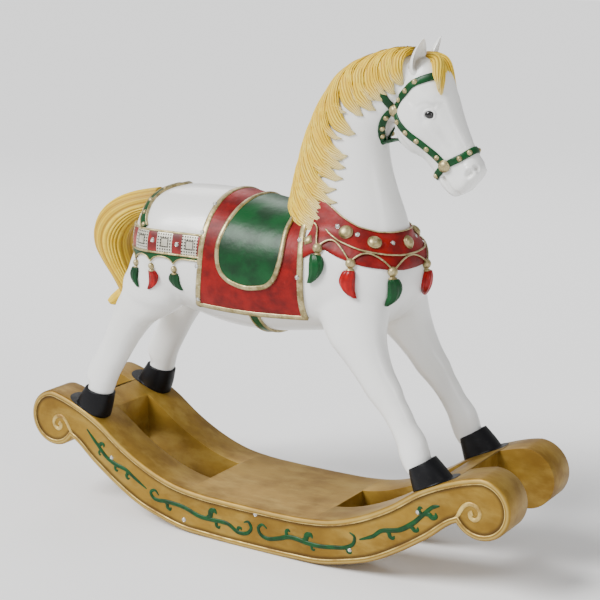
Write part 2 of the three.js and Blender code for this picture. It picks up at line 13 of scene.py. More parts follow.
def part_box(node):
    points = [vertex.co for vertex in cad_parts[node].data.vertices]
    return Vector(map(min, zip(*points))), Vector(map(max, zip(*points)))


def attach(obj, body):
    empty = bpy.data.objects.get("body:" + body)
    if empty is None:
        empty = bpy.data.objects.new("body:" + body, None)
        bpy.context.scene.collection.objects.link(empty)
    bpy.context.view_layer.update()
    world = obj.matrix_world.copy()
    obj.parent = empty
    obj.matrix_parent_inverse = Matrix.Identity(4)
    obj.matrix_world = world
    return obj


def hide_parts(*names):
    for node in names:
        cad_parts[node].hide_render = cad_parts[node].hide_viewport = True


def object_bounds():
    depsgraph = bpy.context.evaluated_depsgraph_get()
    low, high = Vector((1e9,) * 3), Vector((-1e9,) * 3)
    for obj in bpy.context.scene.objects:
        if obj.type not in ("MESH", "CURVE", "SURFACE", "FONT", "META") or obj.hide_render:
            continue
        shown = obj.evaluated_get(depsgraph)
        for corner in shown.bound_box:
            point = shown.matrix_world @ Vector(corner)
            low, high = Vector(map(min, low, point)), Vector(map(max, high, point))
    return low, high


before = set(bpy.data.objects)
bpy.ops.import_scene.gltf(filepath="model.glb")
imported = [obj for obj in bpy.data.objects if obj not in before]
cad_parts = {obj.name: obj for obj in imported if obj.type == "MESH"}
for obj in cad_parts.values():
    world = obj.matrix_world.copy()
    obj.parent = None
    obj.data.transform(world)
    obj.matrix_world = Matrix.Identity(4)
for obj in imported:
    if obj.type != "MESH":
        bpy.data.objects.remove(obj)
cad_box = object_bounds()
bpy.ops.object.select_all(action="DESELECT")

# Camera, floor and studio light: the photograph looks from the near front, a little from above.

view_azimuth, view_elevation = math.radians(32.41), math.radians(13.49)
view_distance = 1.9376
looked_at = Vector((0.022, 0, 0.310))
toward_camera = Vector((
    math.sin(view_azimuth) * math.cos(view_elevation),
    -math.cos(view_azimuth) * math.cos(view_elevation),
    math.sin(view_elevation),
))
bpy.ops.object.camera_add(location=looked_at + toward_camera * view_distance)
camera = bpy.context.object
camera.rotation_euler = (-toward_camera).to_track_quat("-Z", "Y").to_euler()
camera.data.sensor_width = 36
camera.data.lens = 92.34
bpy.context.scene.camera = camera

bpy.ops.mesh.primitive_plane_add(size=30, location=(0, 0, -0.0002))
floor = bpy.context.object
floor.name = "studio_floor"
floor_paint = bpy.data.materials.new("pale floor")
floor_paint.use_nodes = True
floor_shader = floor_paint.node_tree.nodes["Principled BSDF"]
floor_shader.inputs["Base Color"].default_value = (0.9, 0.9, 0.9, 1)
floor_shader.inputs["Roughness"].default_value = 0.9
floor.data.materials.append(floor_paint)

studio = bpy.data.worlds.new("studio")
studio.use_nodes = True
room = studio.node_tree.nodes["Background"]
room.inputs["Color"].default_value = (1, 1, 1, 1)
bpy.context.scene.world = studio
light_strength, backdrop_strength = 0.5, 1.6  # what lights the statue, and what the camera sees behind it
ray = studio.node_tree.nodes.new("ShaderNodeLightPath")
strength = studio.node_tree.nodes.new("ShaderNodeMix")
strength.inputs["A"].default_value = light_strength
strength.inputs["B"].default_value = backdrop_strength
studio.node_tree.links.new(ray.outputs["Is Camera Ray"], strength.inputs["Factor"])
studio.node_tree.links.new(strength.outputs["Result"], room.inputs["Strength"])

bpy.ops.object.light_add(type="SUN", location=(-1.2, -1.9, 2.4))
sun = bpy.context.object
sun.data.energy = 5.2
sun.data.angle = math.radians(28)
sun.rotation_euler = (looked_at - sun.location).to_track_quat("-Z", "Y").to_euler()
for place, size, power in [
    ((2.4, -1.1, 1.3), 0.9, 14),
    ((-1.6, 1.8, 2.0), 1.2, 16),
]:
    bpy.ops.object.light_add(type="AREA", location=place)
    light = bpy.context.object
    light.data.size = size
    light.data.energy = power
    light.rotation_euler = (looked_at - Vector(place)).to_track_quat("-Z", "Y").to_euler()

# The white body: one hollow resin casting, painted white and rubbed with a warm grey that stays in the
# hollows. It is lofted through stations in the side view, joined, remeshed into one skin and smoothed.

millimetre = 0.001
squareness = 2.25


def smooth_curve(stations, count):
    """Rows of numbers on a smooth curve through the stations."""
    stations = np.array(stations, float)
    last = len(stations) - 1
    place = np.linspace(0, last, count)
    i = np.minimum(place.astype(int), last - 1)
    f = (place - i)[:, None]
    a, b, c, d = (stations[np.clip(i + k, 0, last)] for k in (-1, 0, 1, 2))
    return b + 0.5 * f * (c - a + f * (2 * a - 5 * b + 4 * c - d + f * (3 * (b - c) + d - a)))


def mesh_object(name, points, faces):
    """A new object of these points, at the origin, shaded smooth."""
    mesh = bpy.data.meshes.new(name)
    mesh.from_pydata([tuple(p) for p in points], [], faces)
    mesh.validate()
    mesh.update()
    made = bpy.data.objects.new(name, mesh)
    bpy.context.scene.collection.objects.link(made)
    mesh.shade_smooth()
    return made


def loft(name, rings, closed=False):
    """A skin over rings of points: a loop of rings, or a row of rings with a fan over each end."""
    rings = np.asarray(rings, float)
    rows, sides, _ = rings.shape
    points = rings.reshape(-1, 3)
    row, side = np.meshgrid(np.arange(rows - (not closed)), np.arange(sides), indexing="ij")
    up, turn = (row + 1) % rows, (side + 1) % sides
    corners = [row * sides + side, row * sides + turn, up * sides + turn, up * sides + side]
    quads = np.stack(corners, -1).reshape(-1, 4)
    a, b, c, d = (points[quads[:, k]] for k in range(4))
    outward = a + b + c + d - 4 * points.mean(axis=0)
    faces = quads.tolist()
    if not closed:
        first, last, top = rows * sides, rows * sides + 1, (rows - 1) * sides
        points = np.concatenate([points, rings[[0, -1]].mean(axis=1)])
        faces += [[first, (n + 1) % sides, n] for n in range(sides)]
        faces += [[last, top + n, top + (n + 1) % sides] for n in range(sides)]
    if np.einsum("ij,ij->", outward, np.cross(c - a, d - b)) < 0:
        faces = [face[::-1] for face in faces]
    return mesh_object(name, points, faces)


def unit(vectors):
    """The same vectors, one long."""
    return vectors / np.linalg.norm(vectors, axis=-1, keepdims=True)


def turns(count):
    """Equal steps once round."""
    return np.linspace(0, 2 * np.pi, count, endpoint=False)


def section_points(station, turn, side=1, lift=0.0):
    """Points of a limb's cross-section at a turn, lifted off it: a station gives two points of the side view,
    half the width there, and how far out to the side it is."""
    ax, az, bx, bz, half, out = station
    round_cos, round_sin = (np.sign(v) * np.abs(v) ** (2 / squareness) for v in (np.cos(turn), np.sin(turn)))
    reach = np.hypot(ax - bx, az - bz) / 2
    along = round_cos * (reach + lift) / reach
    x = (ax + bx + (ax - bx) * along) / 2
    z = (az + bz + (az - bz) * along) / 2
    return np.stack([x, side * out + round_sin * (half + lift), z], -1) * millimetre


def limb_rings(stations, rings, sides, side=1):
    return section_points(smooth_curve(stations, rings).T[:, :, None], turns(sides)[None, :], side)


trunk_stations = [
    (-203, 395, -203, 371, 16, 0),
    (-199, 416, -201, 345, 42, 0),
    (-185, 432, -190, 313, 63, 0),
    (-160, 441, -162, 292, 78, 0),
    (-115, 444, -112, 280, 81, 0),
    (-65, 442, -62, 271, 81, 0),
    (-10, 431, -10, 270, 80, 0),
    (45, 429, 45, 277, 79, 0),
    (95, 435, 95, 285, 78, 0),
    (135, 425, 138, 293, 73, 0),
    (160, 413, 166, 309, 63, 0),
    (174, 399, 182, 335, 46, 0),
    (181, 389, 188, 349, 27, 0),
    (184, 379, 188, 363, 10, 0),
]
neck_stations = [
    (30, 405, 172, 355, 58, 0),
    (24, 431, 174, 393, 56, 0),
    (27, 458, 168, 425, 46, 0),
    (35, 491, 155, 461, 39, 0),
    (46, 525, 146, 492, 35, 0),
    (64, 561, 143, 521, 33, 0),
    (90, 595, 155, 542, 31, 0),
    (124, 613, 175, 561, 28, 0),
    (160, 623, 192, 585, 24, 0),
    (186, 623, 205, 598, 17, 0),
]
head_stations = [
    (176, 623, 162, 583, 18, 0),
    (204, 622, 158, 551, 26, 0),
    (223, 606, 163, 525, 30, 0),
    (232, 584, 178, 510, 29, 0),
    (239, 563, 196, 503, 25, 0),
    (247, 543, 208, 491, 21, 0),
    (256, 525, 216, 479, 18.5, 0),
    (266, 509, 225, 469, 18.5, 0),
    (271, 496, 237, 463, 18, 0),
    (267, 483, 250, 466, 10, 0),
]
hind_leg_stations = [
    (-186, 391, -124, 393, 33, 36),
    (-203, 347, -112, 333, 34, 43),
    (-216, 309, -130, 291, 28, 52),
    (-226, 281, -168, 267, 23, 57),
    (-237, 253, -190, 242, 19, 60),
    (-251, 227, -206, 217, 16, 62),
    (-267, 201, -221, 192, 15.5, 64),
    (-270, 187, -228, 177, 16, 66),
    (-266, 175, -232, 166, 14.5, 67),
    (-274, 159, -240, 150, 14.5, 67),
]
front_leg_stations = [
    (64, 367, 164, 375, 34, 32),
    (76, 325, 170, 339, 34, 41),
    (90, 301, 172, 315, 29, 49),
    (104, 282, 174, 297, 25, 56),
    (128, 260, 181, 276, 21, 60),
    (146, 241, 190, 256, 18, 62),
    (159, 224, 201, 239, 15.5, 63),
    (176, 208, 209, 222, 13.5, 64),
    (189, 193, 221, 202, 13, 65),
    (201, 174, 235, 185, 14.5, 66),
    (206, 160, 240, 171, 15, 67),
    (213, 145, 245, 158, 14, 67),
    (224, 133, 254, 147, 14, 67),
]
body_parts = [
    loft("trunk", limb_rings(trunk_stations, 60, 72)),
    loft("neck", limb_rings(neck_stations, 50, 64)),
    loft("head", limb_rings(head_stations, 60, 64)),
]
for side in (-1, 1):
    body_parts.append(loft("hind_leg", limb_rings(hind_leg_stations, 60, 40, side)))
    body_parts.append(loft("front_leg", limb_rings(front_leg_stations, 60, 40, side)))


def joined(name, parts):
    """Objects joined into one."""
    bpy.ops.object.select_all(action="DESELECT")
    for part in parts:
        part.select_set(True)
    bpy.context.view_layer.objects.active = parts[0]
    if len(parts) > 1:
        bpy.ops.object.join()
    parts[0].name = name
    return parts[0]


def apply_modifier(piece, kind, **settings):
    """Adds a modifier and applies it."""
    bpy.ops.object.select_all(action="DESELECT")
    piece.select_set(True)
    bpy.context.view_layer.objects.active = piece
    modifier = piece.modifiers.new(kind.lower(), kind)
    for name, value in settings.items():
        setattr(modifier, name, value)
    bpy.ops.object.modifier_apply(modifier=modifier.name)


def rows_of(elements, name, width, kind=float):
    """One property of all the elements of a mesh, a row each."""
    flat = np.empty(len(elements) * width, kind)
    elements.foreach_get(name, flat)
    return flat.reshape(-1, width)


def points_of(piece):
    return rows_of(piece.data.vertices, "co", 3)


def normals_of(piece):
    return rows_of(piece.data.vertex_normals, "vector", 3)


def edges_of(piece):
    return rows_of(piece.data.edges, "vertices", 2, int)


def set_points(piece, points):
    piece.data.vertices.foreach_set("co", np.ascontiguousarray(points, dtype=np.float32).ravel())
    piece.data.update()


def neighbour_mean(values, edges, count):
    """The mean of each point's neighbours."""
    total = np.zeros((count, values.shape[1]))
    for k in range(values.shape[1]):
        total[:, k] = np.bincount(edges[:, 0], values[edges[:, 1], k], count)
        total[:, k] += np.bincount(edges[:, 1], values[edges[:, 0], k], count)
    degree = np.bincount(edges.ravel(), minlength=count)
    return total / np.maximum(degree, 1)[:, None]


def relaxed(points, edges, rounds, weight):
    """Points smoothed without shrinking: each round moves them to their neighbours' mean, then back again."""
    for _ in range(rounds):
        for step in (0.55, -0.56):
            points = points + step * weight * (neighbour_mean(points, edges, len(points)) - points)
    return points


def ramp(value, low, high):
    """0 below low, 1 above high, smooth between."""
    t = np.clip((value - low) / (high - low), 0, 1)
    return t * t * (3 - 2 * t)


def add_attribute(piece, name, values):
    """A number at each point of the mesh, for its material."""
    attribute = piece.data.attributes.new(name, "FLOAT", "POINT")
    attribute.data.foreach_set("value", np.asarray(values, np.float32))


white_body = joined("white_body", body_parts)
apply_modifier(white_body, "REMESH", mode="VOXEL", voxel_size=0.00275)
skin_points, skin_edges = points_of(white_body), edges_of(white_body)
height = skin_points[:, 2]
on_head = ramp(skin_points[:, 0], 0.15, 0.17) * ramp(height, 0.455, 0.475)
melt = (0.12 + 0.88 * ramp(height, 0.235, 0.29)) * (1 - 0.93 * on_head)
skin_points = relaxed(skin_points, skin_edges, 90, melt[:, None])
set_points(white_body, skin_points)

# The head gets a finer skin, for its carving.
shape = bmesh.new()
shape.from_mesh(white_body.data)
head_edges = [e for e in shape.edges if all(v.co.x > 0.146 and v.co.z > 0.452 for v in e.verts)]
bmesh.ops.subdivide_edges(shape, edges=head_edges, cuts=1, use_grid_fill=True)
shape.to_mesh(white_body.data)
shape.free()
white_body.data.shade_smooth()
skin_points, skin_edges = points_of(white_body), edges_of(white_body)
on_head = ramp(skin_points[:, 0], 0.15, 0.16) * ramp(skin_points[:, 2], 0.455, 0.465)
skin_points = relaxed(skin_points, skin_edges, 6, on_head[:, None])
set_points(white_body, skin_points)

# Muscles and the carving of the face, pressed in and out of the skin: a line of points, a radius and a rise,
# in millimetres, on both sides of the horse.
carving = [
    ([(196, 29, 546)], 26, 3.2),
    ([(170, 27, 574), (162, 26, 552), (168, 25, 530), (182, 24, 514)], 5, -2.0),
    ([(188, 24, 512), (203, 22, 500), (218, 18, 488)], 5, 1.2),
    ([(214, 29, 546), (228, 26, 526), (242, 22, 508)], 6, 1.8),
    ([(226, 28, 548), (240, 23, 524)], 6, -1.2),
    ([(196, 27, 586), (205, 27, 577), (216, 25, 574)], 9, 2.6),
    ([(215, 30, 557)], 9.5, -2.6),
    ([(200, 29, 566), (206, 29, 570), (213, 28, 571), (220, 27, 568)], 2.6, -2.4),
    ([(190, 29, 572), (198, 30, 566), (206, 30, 558)], 2.6, -1.0),
    ([(232, 20, 574), (240, 17, 552), (249, 13, 530)], 7, 1.0),
    ([(263, 15, 495)], 11, 3.0),
    ([(259, 19, 499), (264, 18, 500), (268, 15, 495)], 3.2, 1.6),
    ([(268, 12, 498), (265, 16, 495), (261, 18, 491)], 3.8, -5.4),
    ([(250, 20, 490)], 9, -1.0),
    ([(228, 16, 484), (234, 16, 477), (240, 15, 470), (247, 11, 465)], 2.8, -3.8),
    ([(226, 13, 478), (233, 12, 471), (240, 9, 465)], 6, 1.6),
    ([(240, 16, 482), (249, 14, 474)], 8, 1.6),
    ([(219, 0, 486), (214, 0, 490)], 7, -1.2),
    ([(150, 62, 330)], 44, 3.0),
    ([(176, 0, 350), (168, 0, 318)], 18, -3.0),
    ([(150, 76, 390)], 34, 1.5),
    ([(-160, 76, 350)], 48, 2.5),
    ([(-205, 70, 325), (-170, 80, 308), (-130, 76, 302)], 9, 2.0),
    ([(-215, 66, 305), (-172, 76, 290), (-140, 70, 284)], 9, -1.6),
    ([(-198, 58, 268), (-222, 66, 240)], 10, 1.5),
    ([(206, 62, 206)], 13, 1.8),
    ([(233, 67, 166)], 14, 1.6),
    ([(-250, 66, 178)], 14, 1.6),
]


def distance_to(points, line):
    """Distance from points to a line of points."""
    if len(line) == 1:
        return np.linalg.norm(points - line[0], axis=1)
    nearest = np.full(len(points), np.inf)
    for start, end in zip(line[:-1], line[1:]):
        step = end - start
        share = np.clip((points - start) @ step / (step @ step), 0, 1)[:, None]
        nearest = np.minimum(nearest, np.linalg.norm(points - start - share * step, axis=1))
    return nearest


for line, radius, rise in carving:
    line = np.array(line, float)
    for side in (-1, 1) if line[0, 1] else (1,):
        away = distance_to(skin_points, line * (1, side, 1) * millimetre)
        near = np.clip(1 - (away / (radius * millimetre * 1.6)) ** 2, 0, 1) ** 2
        skin_points = skin_points + normals_of(white_body) * (near * rise * millimetre)[:, None]
set_points(white_body, skin_points)

# Ears: pointed leaves with a sharp rim, hollow to the front and outwards, cast with the head.


def ear(side):
    """One ear: crescent sections from its root to its tip."""
    heights = [597, 604, 612, 620, 628, 635, 640.5, 643.5]
    middles = [193, 193.5, 194.5, 196, 198, 200, 201.6, 202.2]
    outs = [15.5, 16.5, 18, 19, 19.8, 20.5, 21.2, 21.6]
    halves = [7.5, 9.2, 10.3, 10.6, 9.4, 6.6, 3.2, 0.5]
    depths = [9, 10.4, 10.8, 9.8, 7.8, 5.4, 3.0, 0.5]
    dents = [-1.0, -0.4, 0.35, 0.55, 0.6, 0.55, 0.3, -1.0]
    rows = smooth_curve(list(zip(heights, middles, outs, halves, depths, dents)), 40)
    forward = np.array([0.97, side * 0.24, 0.0])
    across = np.array([0.24, -side * 0.97, 0.0])
    turn = turns(48)
    rings = []
    for height, middle, out, half, depth, dent in rows:
        wide = np.sign(np.cos(turn)) * np.abs(np.cos(turn)) ** 0.9 * half
        front = np.where(np.sin(turn) > 0, -dent * np.abs(np.sin(turn)) ** 1.4, np.sin(turn)) * depth
        centre = np.array([middle, side * out, height])
        rings.append(centre + wide[:, None] * across + front[:, None] * forward)
    return loft("ear", np.array(rings) * millimetre)


white_body = joined("white_body", [white_body, ear(-1), ear(1)])


# Hollows of the skin are found by rays, so that the grey rub can stay in them.


def hollows(piece, reach, rays=14):
    """How closed in each point is, 0 to 1, by short rays over the half space that it faces."""
    bpy.context.view_layer.update()
    tree = BVHTree.FromObject(piece, bpy.context.evaluated_depsgraph_get())
    n = np.arange(rays) + 0.5
    tilt, turn = np.arccos(1 - 0.9 * n / rays), np.pi * (1 + 5 ** 0.5) * n
    spread = np.stack([np.sin(tilt) * np.cos(turn), np.sin(tilt) * np.sin(turn), np.cos(tilt)], 1)
    points, normals = points_of(piece), normals_of(piece)
    side = unit(np.cross(normals, [0.31, 0.83, 0.46]))
    other = np.cross(normals, side)
    closed = np.zeros(len(points))
    for a, b, c in spread:
        directions = side * a + other * b + normals * c
        starts = points + normals * 0.0004
        for i in range(len(points)):
            if tree.ray_cast(starts[i], directions[i], reach)[0] is not None:
                closed[i] += c
    return closed / spread[:, 2].sum()


def operator(operation, reflected=False):
    """A Math operation on a value and another value or number."""
    def method(value, other):
        pair = (other, value) if reflected else (value, other)
        return value.maths(operation, *pair)
    return method


class Value:
    """A socket of a material; an expression on it adds its Math nodes."""

    def __init__(self, paint, socket):
        self.paint = paint
        self.socket = socket

    def maths(self, operation, *values):
        return self.paint.node("ShaderNodeMath", {"operation": operation}, dict(enumerate(values)))

    __add__ = __radd__ = operator("ADD")
    __sub__ = operator("SUBTRACT")
    __rsub__ = operator("SUBTRACT", reflected=True)
    __mul__ = __rmul__ = operator("MULTIPLY")
    __truediv__ = operator("DIVIDE")
    __lt__ = operator("LESS_THAN")
    least = operator("MINIMUM")
    most = operator("MAXIMUM")

    def fraction(self):
        return self.maths("FRACT", self)

    def distance_from(self, middle):
        return self.maths("ABSOLUTE", self - middle)

    def between(self, low, high):
        """0 at low, 1 at high, smooth between and held outside."""
        return self.paint.node(
            "ShaderNodeMapRange",
            {"interpolation_type": "SMOOTHSTEP"},
            {"Value": self, "From Min": low, "From Max": high},
        )


class Paint:
    """A material: nodes come from one method, and values from Value."""

    def __init__(self, name):
        self.material = bpy.data.materials.new(name)
        self.material.use_nodes = True
        self.tree = self.material.node_tree
        self.shader = self.tree.nodes["Principled BSDF"]

    def node(self, kind, settings, inputs, output=0):
        made = self.tree.nodes.new(kind)
        for name, value in settings.items():
            setattr(made, name, value)
        for name, value in inputs.items():
            if isinstance(value, Value):
                self.tree.links.new(value.socket, made.inputs[name])
            else:
                made.inputs[name].default_value = value
        return Value(self, made.outputs[output])

    def attribute(self, name):
        return self.node("ShaderNodeAttribute", {"attribute_name": name}, {}, "Fac")

    def noise(self, scale, detail=3, roughness=0.5, stretch=(1, 1, 1)):
        here = self.node("ShaderNodeTexCoord", {}, {}, "Object")
        here = self.node("ShaderNodeMapping", {}, {"Vector": here, "Scale": stretch})
        settings = {"Vector": here, "Scale": scale, "Detail": detail, "Roughness": roughness}
        return self.node("ShaderNodeTexNoise", {}, settings)

    def mix(self, share, first, second):
        """Colour first where share is 0, second where it is 1."""
        def colour(c):
            return c if isinstance(c, Value) else (*c, 1)
        inputs = {0: share, 6: colour(first), 7: colour(second)}
        return self.node("ShaderNodeMix", {"data_type": "RGBA"}, inputs, 2)

    def finish(self, colour, roughness, metallic=0.0, height=None, depth=0.0005, coat=0.0, **plain):
        """Sets the shader: links where a value varies, numbers where it doesn't."""
        sockets = {"Base Color": colour, "Roughness": roughness, "Metallic": metallic}
        if height is not None:
            bump = {"Height": height, "Distance": depth, "Strength": 1.0}
            sockets["Normal"] = self.node("ShaderNodeBump", {}, bump)
        for name, value in sockets.items():
            if isinstance(value, Value):
                self.tree.links.new(value.socket, self.shader.inputs[name])
            else:
                self.shader.inputs[name].default_value = (*value, 1) if name == "Base Color" else value
        self.shader.inputs["Coat Weight"].default_value = coat
        self.shader.inputs["Coat Roughness"].default_value = 0.12
        for name, value in plain.items():
            socket = name.replace("_", " ").title().replace("Ior", "IOR")
            self.shader.inputs[socket].default_value = value
        return self.material


add_attribute(white_body, "hollow", hollows(white_body, 0.028))
white = Paint("white porcelain paint")
rub = white.attribute("hollow").between(0.08, 0.55) * white.noise(45, 4).between(0.2, 0.7)
cloudy = white.noise(9, 4).between(0.45, 0.8)
white_colour = white.mix(cloudy * 0.4, (0.80, 0.80, 0.78), (0.70, 0.685, 0.63))
white_colour = white.mix(rub * 0.85, white_colour, (0.30, 0.245, 0.17))
white_body.data.materials.append(
    white.finish(
        white_colour,
        0.27 + 0.16 * white.noise(60, 3),
        height=white.noise(34, 4) + 0.15 * white.noise(220, 3),
        depth=0.0006,
        coat=0.35,
    )
)
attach(white_body, "root")
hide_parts("horse")

# Hooves: part of the same casting, painted satin black, flared from the hairline to the deck. Their soles
# are pressed flat to the deck's swing.

scroll_centre_x, scroll_centre_z, scroll_radius = 320, 119, 38
deck_lowest, scroll_top = 57, scroll_centre_z + scroll_radius
top_swing = np.array([0, 0.003, 0.017, 0.073, 0.21, 0.42, 0.695, 0.885, 1])[:, None]


def deck_top(x):
    """Height of the deck at a distance from its middle, in millimetres."""
    share = np.clip(np.abs(np.asarray(x, float)) / scroll_centre_x, 0, 1)
    swing = smooth_curve(top_swing, 801)[:, 0]
    return deck_lowest + (scroll_top - deck_lowest) * np.interp(share, np.linspace(0, 1, 801), swing)


hind_hoof_stations = [
    (-272, 170, -231, 162, 17, 67),
    (-281, 157, -236, 143, 19.5, 67),
    (-290, 142, -242, 127, 20.5, 66.5),
    (-299, 127, -248, 112, 21, 66),
]
front_hoof_stations = [
    (219, 145, 250, 164, 17, 67),
    (223, 131, 262, 153, 19.5, 67),
    (227, 117, 272, 143, 20.5, 66.5),
    (231, 103, 282, 133, 21, 66),
]
black = Paint("satin black paint")
black_wear = black.noise(120, 4).between(0.6, 0.85)
black_satin = black.finish(
    black.mix(black_wear * 0.4, (0.002, 0.002, 0.003), (0.014, 0.013, 0.012)),
    0.3 + 0.25 * black.noise(90, 3),
    height=black.noise(160, 3, stretch=(1, 1, 3)),
    depth=0.0003,
    specular_ior_level=0.2,
)
hooves = []
for side in (-1, 1):
    for stations in (hind_hoof_stations, front_hoof_stations):
        hoof = loft("hoof", limb_rings(stations, 26, 40, side))
        shape = points_of(hoof)
        shape[:, 2] = np.maximum(shape[:, 2], (deck_top(shape[:, 0] / millimetre) + 0.3) * millimetre)
        shape[:, 1] = np.clip(shape[:, 1], cad_box[0][1], cad_box[1][1])
        set_points(hoof, shape)
        hooves.append(hoof)
hooves = joined("hooves", hooves)
hooves.data.materials.append(black_satin)
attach(hooves, "root")
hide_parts("horse")


# The mane: combed locks cast on the neck, that leave the crest, swing back and fall to a point on either
# side. They are painted yellow, with brown in the grooves and cream at the tips.


def strand(name, points, outward, width, thickness, grooves, sides=28, twist=0.0):
    """A combed lock along a path: an oval section with grooves, and its groove depth as an attribute."""
    points, outward = np.asarray(points, float), np.asarray(outward, float)
    ahead = unit(np.gradient(points, axis=0))
    across = unit(np.cross(ahead, outward))
    outward = np.cross(across, ahead)
    share = np.linspace(0, 1, len(points))[:, None]
    turn = turns(sides)[None, :]
    comb = 0.5 + 0.5 * np.cos(grooves * turn + twist * share)
    size = 1 - 0.2 * (1 - comb)
    wide = (width(share) / 2 * np.cos(turn) * size)[..., None]
    deep = (thickness(share) / 2 * np.sin(turn) * size)[..., None]
    rings = points[:, None] + wide * across[:, None] + deep * outward[:, None]
    made = loft(name, rings)
    ends = np.zeros(2)
    add_attribute(made, "groove", np.concatenate([(1 - comb + 0 * share).ravel(), ends]))
    add_attribute(made, "root_to_tip", np.concatenate([(share + 0 * turn).ravel(), [0, 1]]))
    return made


def neck_skin(along, turn, lift):
    """A point of the neck at a share along it and a turn from its crest, and the way it faces."""
    place = np.clip((np.asarray(along) * 400).round().astype(int), 0, 400)
    station = smooth_curve(neck_stations, 401)[place].T
    low, high = (section_points(station, turn, lift=rise) for rise in (lift, lift + 5))
    return low, unit(high - low)


def mane_lock(start, lift, width, thick, side, sway, reach=1.0, sides=56, grooves=14):
    """One lock: it leaves the crest at a share of the neck, falls back, and swings forward to its tip."""
    t = np.linspace(0, 1, 26)
    full_fall = np.interp(start, [0.2, 0.4, 0.66, 0.75, 0.95], [0.15, 0.22, 0.235, 0.14, 0.11])
    full_turn = np.interp(start, [0.2, 0.4, 0.66, 0.8, 0.95], [1.25, 1.5, 1.85, 2.02, 2.05]) * reach
    shape = np.interp(t, [0, 0.25, 0.5, 0.75, 0.92, 1], [0, 0.34, 0.66, 0.94, 1.0, 0.96])
    along = start - full_fall * (shape + sway * np.sin(2 * np.pi * t))
    turn = side * full_turn * (0.5 * t + 0.72 * t ** 1.6 - 0.22 * t ** 3)
    points, outward = neck_skin(np.maximum(along, 0.02), turn, lift * (1 - 0.5 * t ** 2))
    full = lambda s: np.interp(s, [0, 0.12, 0.45, 0.75, 0.9, 1], [0.72, 0.9, 1.0, 0.74, 0.36, 0.03])
    return strand(
        "lock",
        points,
        outward,
        lambda s: width * millimetre * full(s),
        lambda s: thick * millimetre * np.interp(s, [0, 0.5, 0.8, 1], [1.0, 1.0, 0.7, 0.1]),
        grooves,
        sides,
        twist=1.8 * side,
    )


locks = []
lock_count = 15
for side in (-1, 1):
    for n in range(lock_count):
        t = n / (lock_count - 1)
        start = 0.965 - 0.70 * t
        sway, reach = 0.05 * math.sin(1.9 * n), 1 + 0.03 * math.sin(2.7 * n)
        locks.append(mane_lock(start, 2.2, 29, 11, side, sway, reach))
        sway, reach = 0.09 * math.sin(2.3 * n + 1), 0.86 + 0.08 * math.sin(1.3 * n)
        locks.append(mane_lock(start - 0.022, 4.4, 17, 9, side, sway, reach, 40, 10))
mane_piece = joined("mane", locks)

forelocks = []
for sway, reach, drop in [
    (-1.0, 20, 36), (-0.72, 20, 50), (-0.42, 18, 60), (-0.12, 14, 68), (0.2, 14, 60), (0.5, 17, 62),
    (0.85, 20, 42),
]:
    t = np.linspace(0, 1, 26)
    x = 196 + 29 * t ** 0.75 + 8 * np.sin(np.pi * t) * (1 - 0.5 * abs(sway))
    z = 622 + 5 * np.sin(np.pi * t) - drop * t ** 1.3
    y = sway * (5 + reach * t) + 4 * np.sin(2 * np.pi * t)
    facing = np.stack([0.75 + 0 * t, 0.9 * sway + 0 * t, 0.6 - 0.4 * t], -1)
    forelocks.append(
        strand(
            "forelock",
            np.stack([x, y, z], -1) * millimetre,
            facing,
            lambda s: 0.016 * np.interp(s, [0, 0.3, 0.7, 1], [0.7, 1.0, 0.75, 0.05]),
            lambda s: 0.010 * np.interp(s, [0, 0.3, 0.7, 1], [1.0, 1.0, 0.7, 0.1]),
            9,
            36,
        )
    )
mane_piece = joined("mane", [mane_piece, *forelocks])

hair = Paint("yellow hair paint")
groove = hair.attribute("groove")
tip = hair.attribute("root_to_tip")
streak = hair.noise(70, 4, 0.6)
# Brown laid into the grooves of each lock, more where the streaks run.
groove_brown = (groove * 1.15 + streak * 0.5 - 0.45).between(0.15, 0.95)
hair_colour = hair.mix(streak.between(0.35, 0.7), (0.72, 0.46, 0.012), (0.82, 0.60, 0.050))
hair_colour = hair.mix(tip.between(0.72, 1.0) * 0.85, hair_colour, (0.84, 0.76, 0.42))
hair_colour = hair.mix((1 - tip.between(0.02, 0.2)) * 0.8, hair_colour, (0.11, 0.042, 0.006))
hair_colour = hair.mix(groove_brown * 0.85, hair_colour, (0.30, 0.145, 0.005))
hair_paint = hair.finish(
    hair_colour, 0.42 + 0.15 * streak, height=streak - 0.6 * groove, depth=0.0004, specular_ior_level=0.3
)
mane_piece.data.materials.append(hair_paint)
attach(mane_piece, "root")
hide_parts("horse")

# The tail: one combed lock as thick as an arm, that loops out from the dock and back in between the hind
# legs, with a small flick at its tip. Same casting, same paint as the mane.

tail_stations = [
    (-196, 435, -196, 400, 13, 0),
    (-238, 426, -222, 391, 19, 0),
    (-270, 413, -236, 380, 24, 0),
    (-291, 395, -245, 367, 27, 0),
    (-301, 374, -248, 353, 29, 0),
    (-300, 352, -245, 339, 29, 0),
    (-288, 332, -238, 321, 28, 0),
    (-273, 312, -224, 299, 26, 0),
    (-262, 292, -210, 281, 23, 0),
    (-252, 273, -198, 266, 17, 0),
    (-235, 259, -204, 257, 8, 0),
]


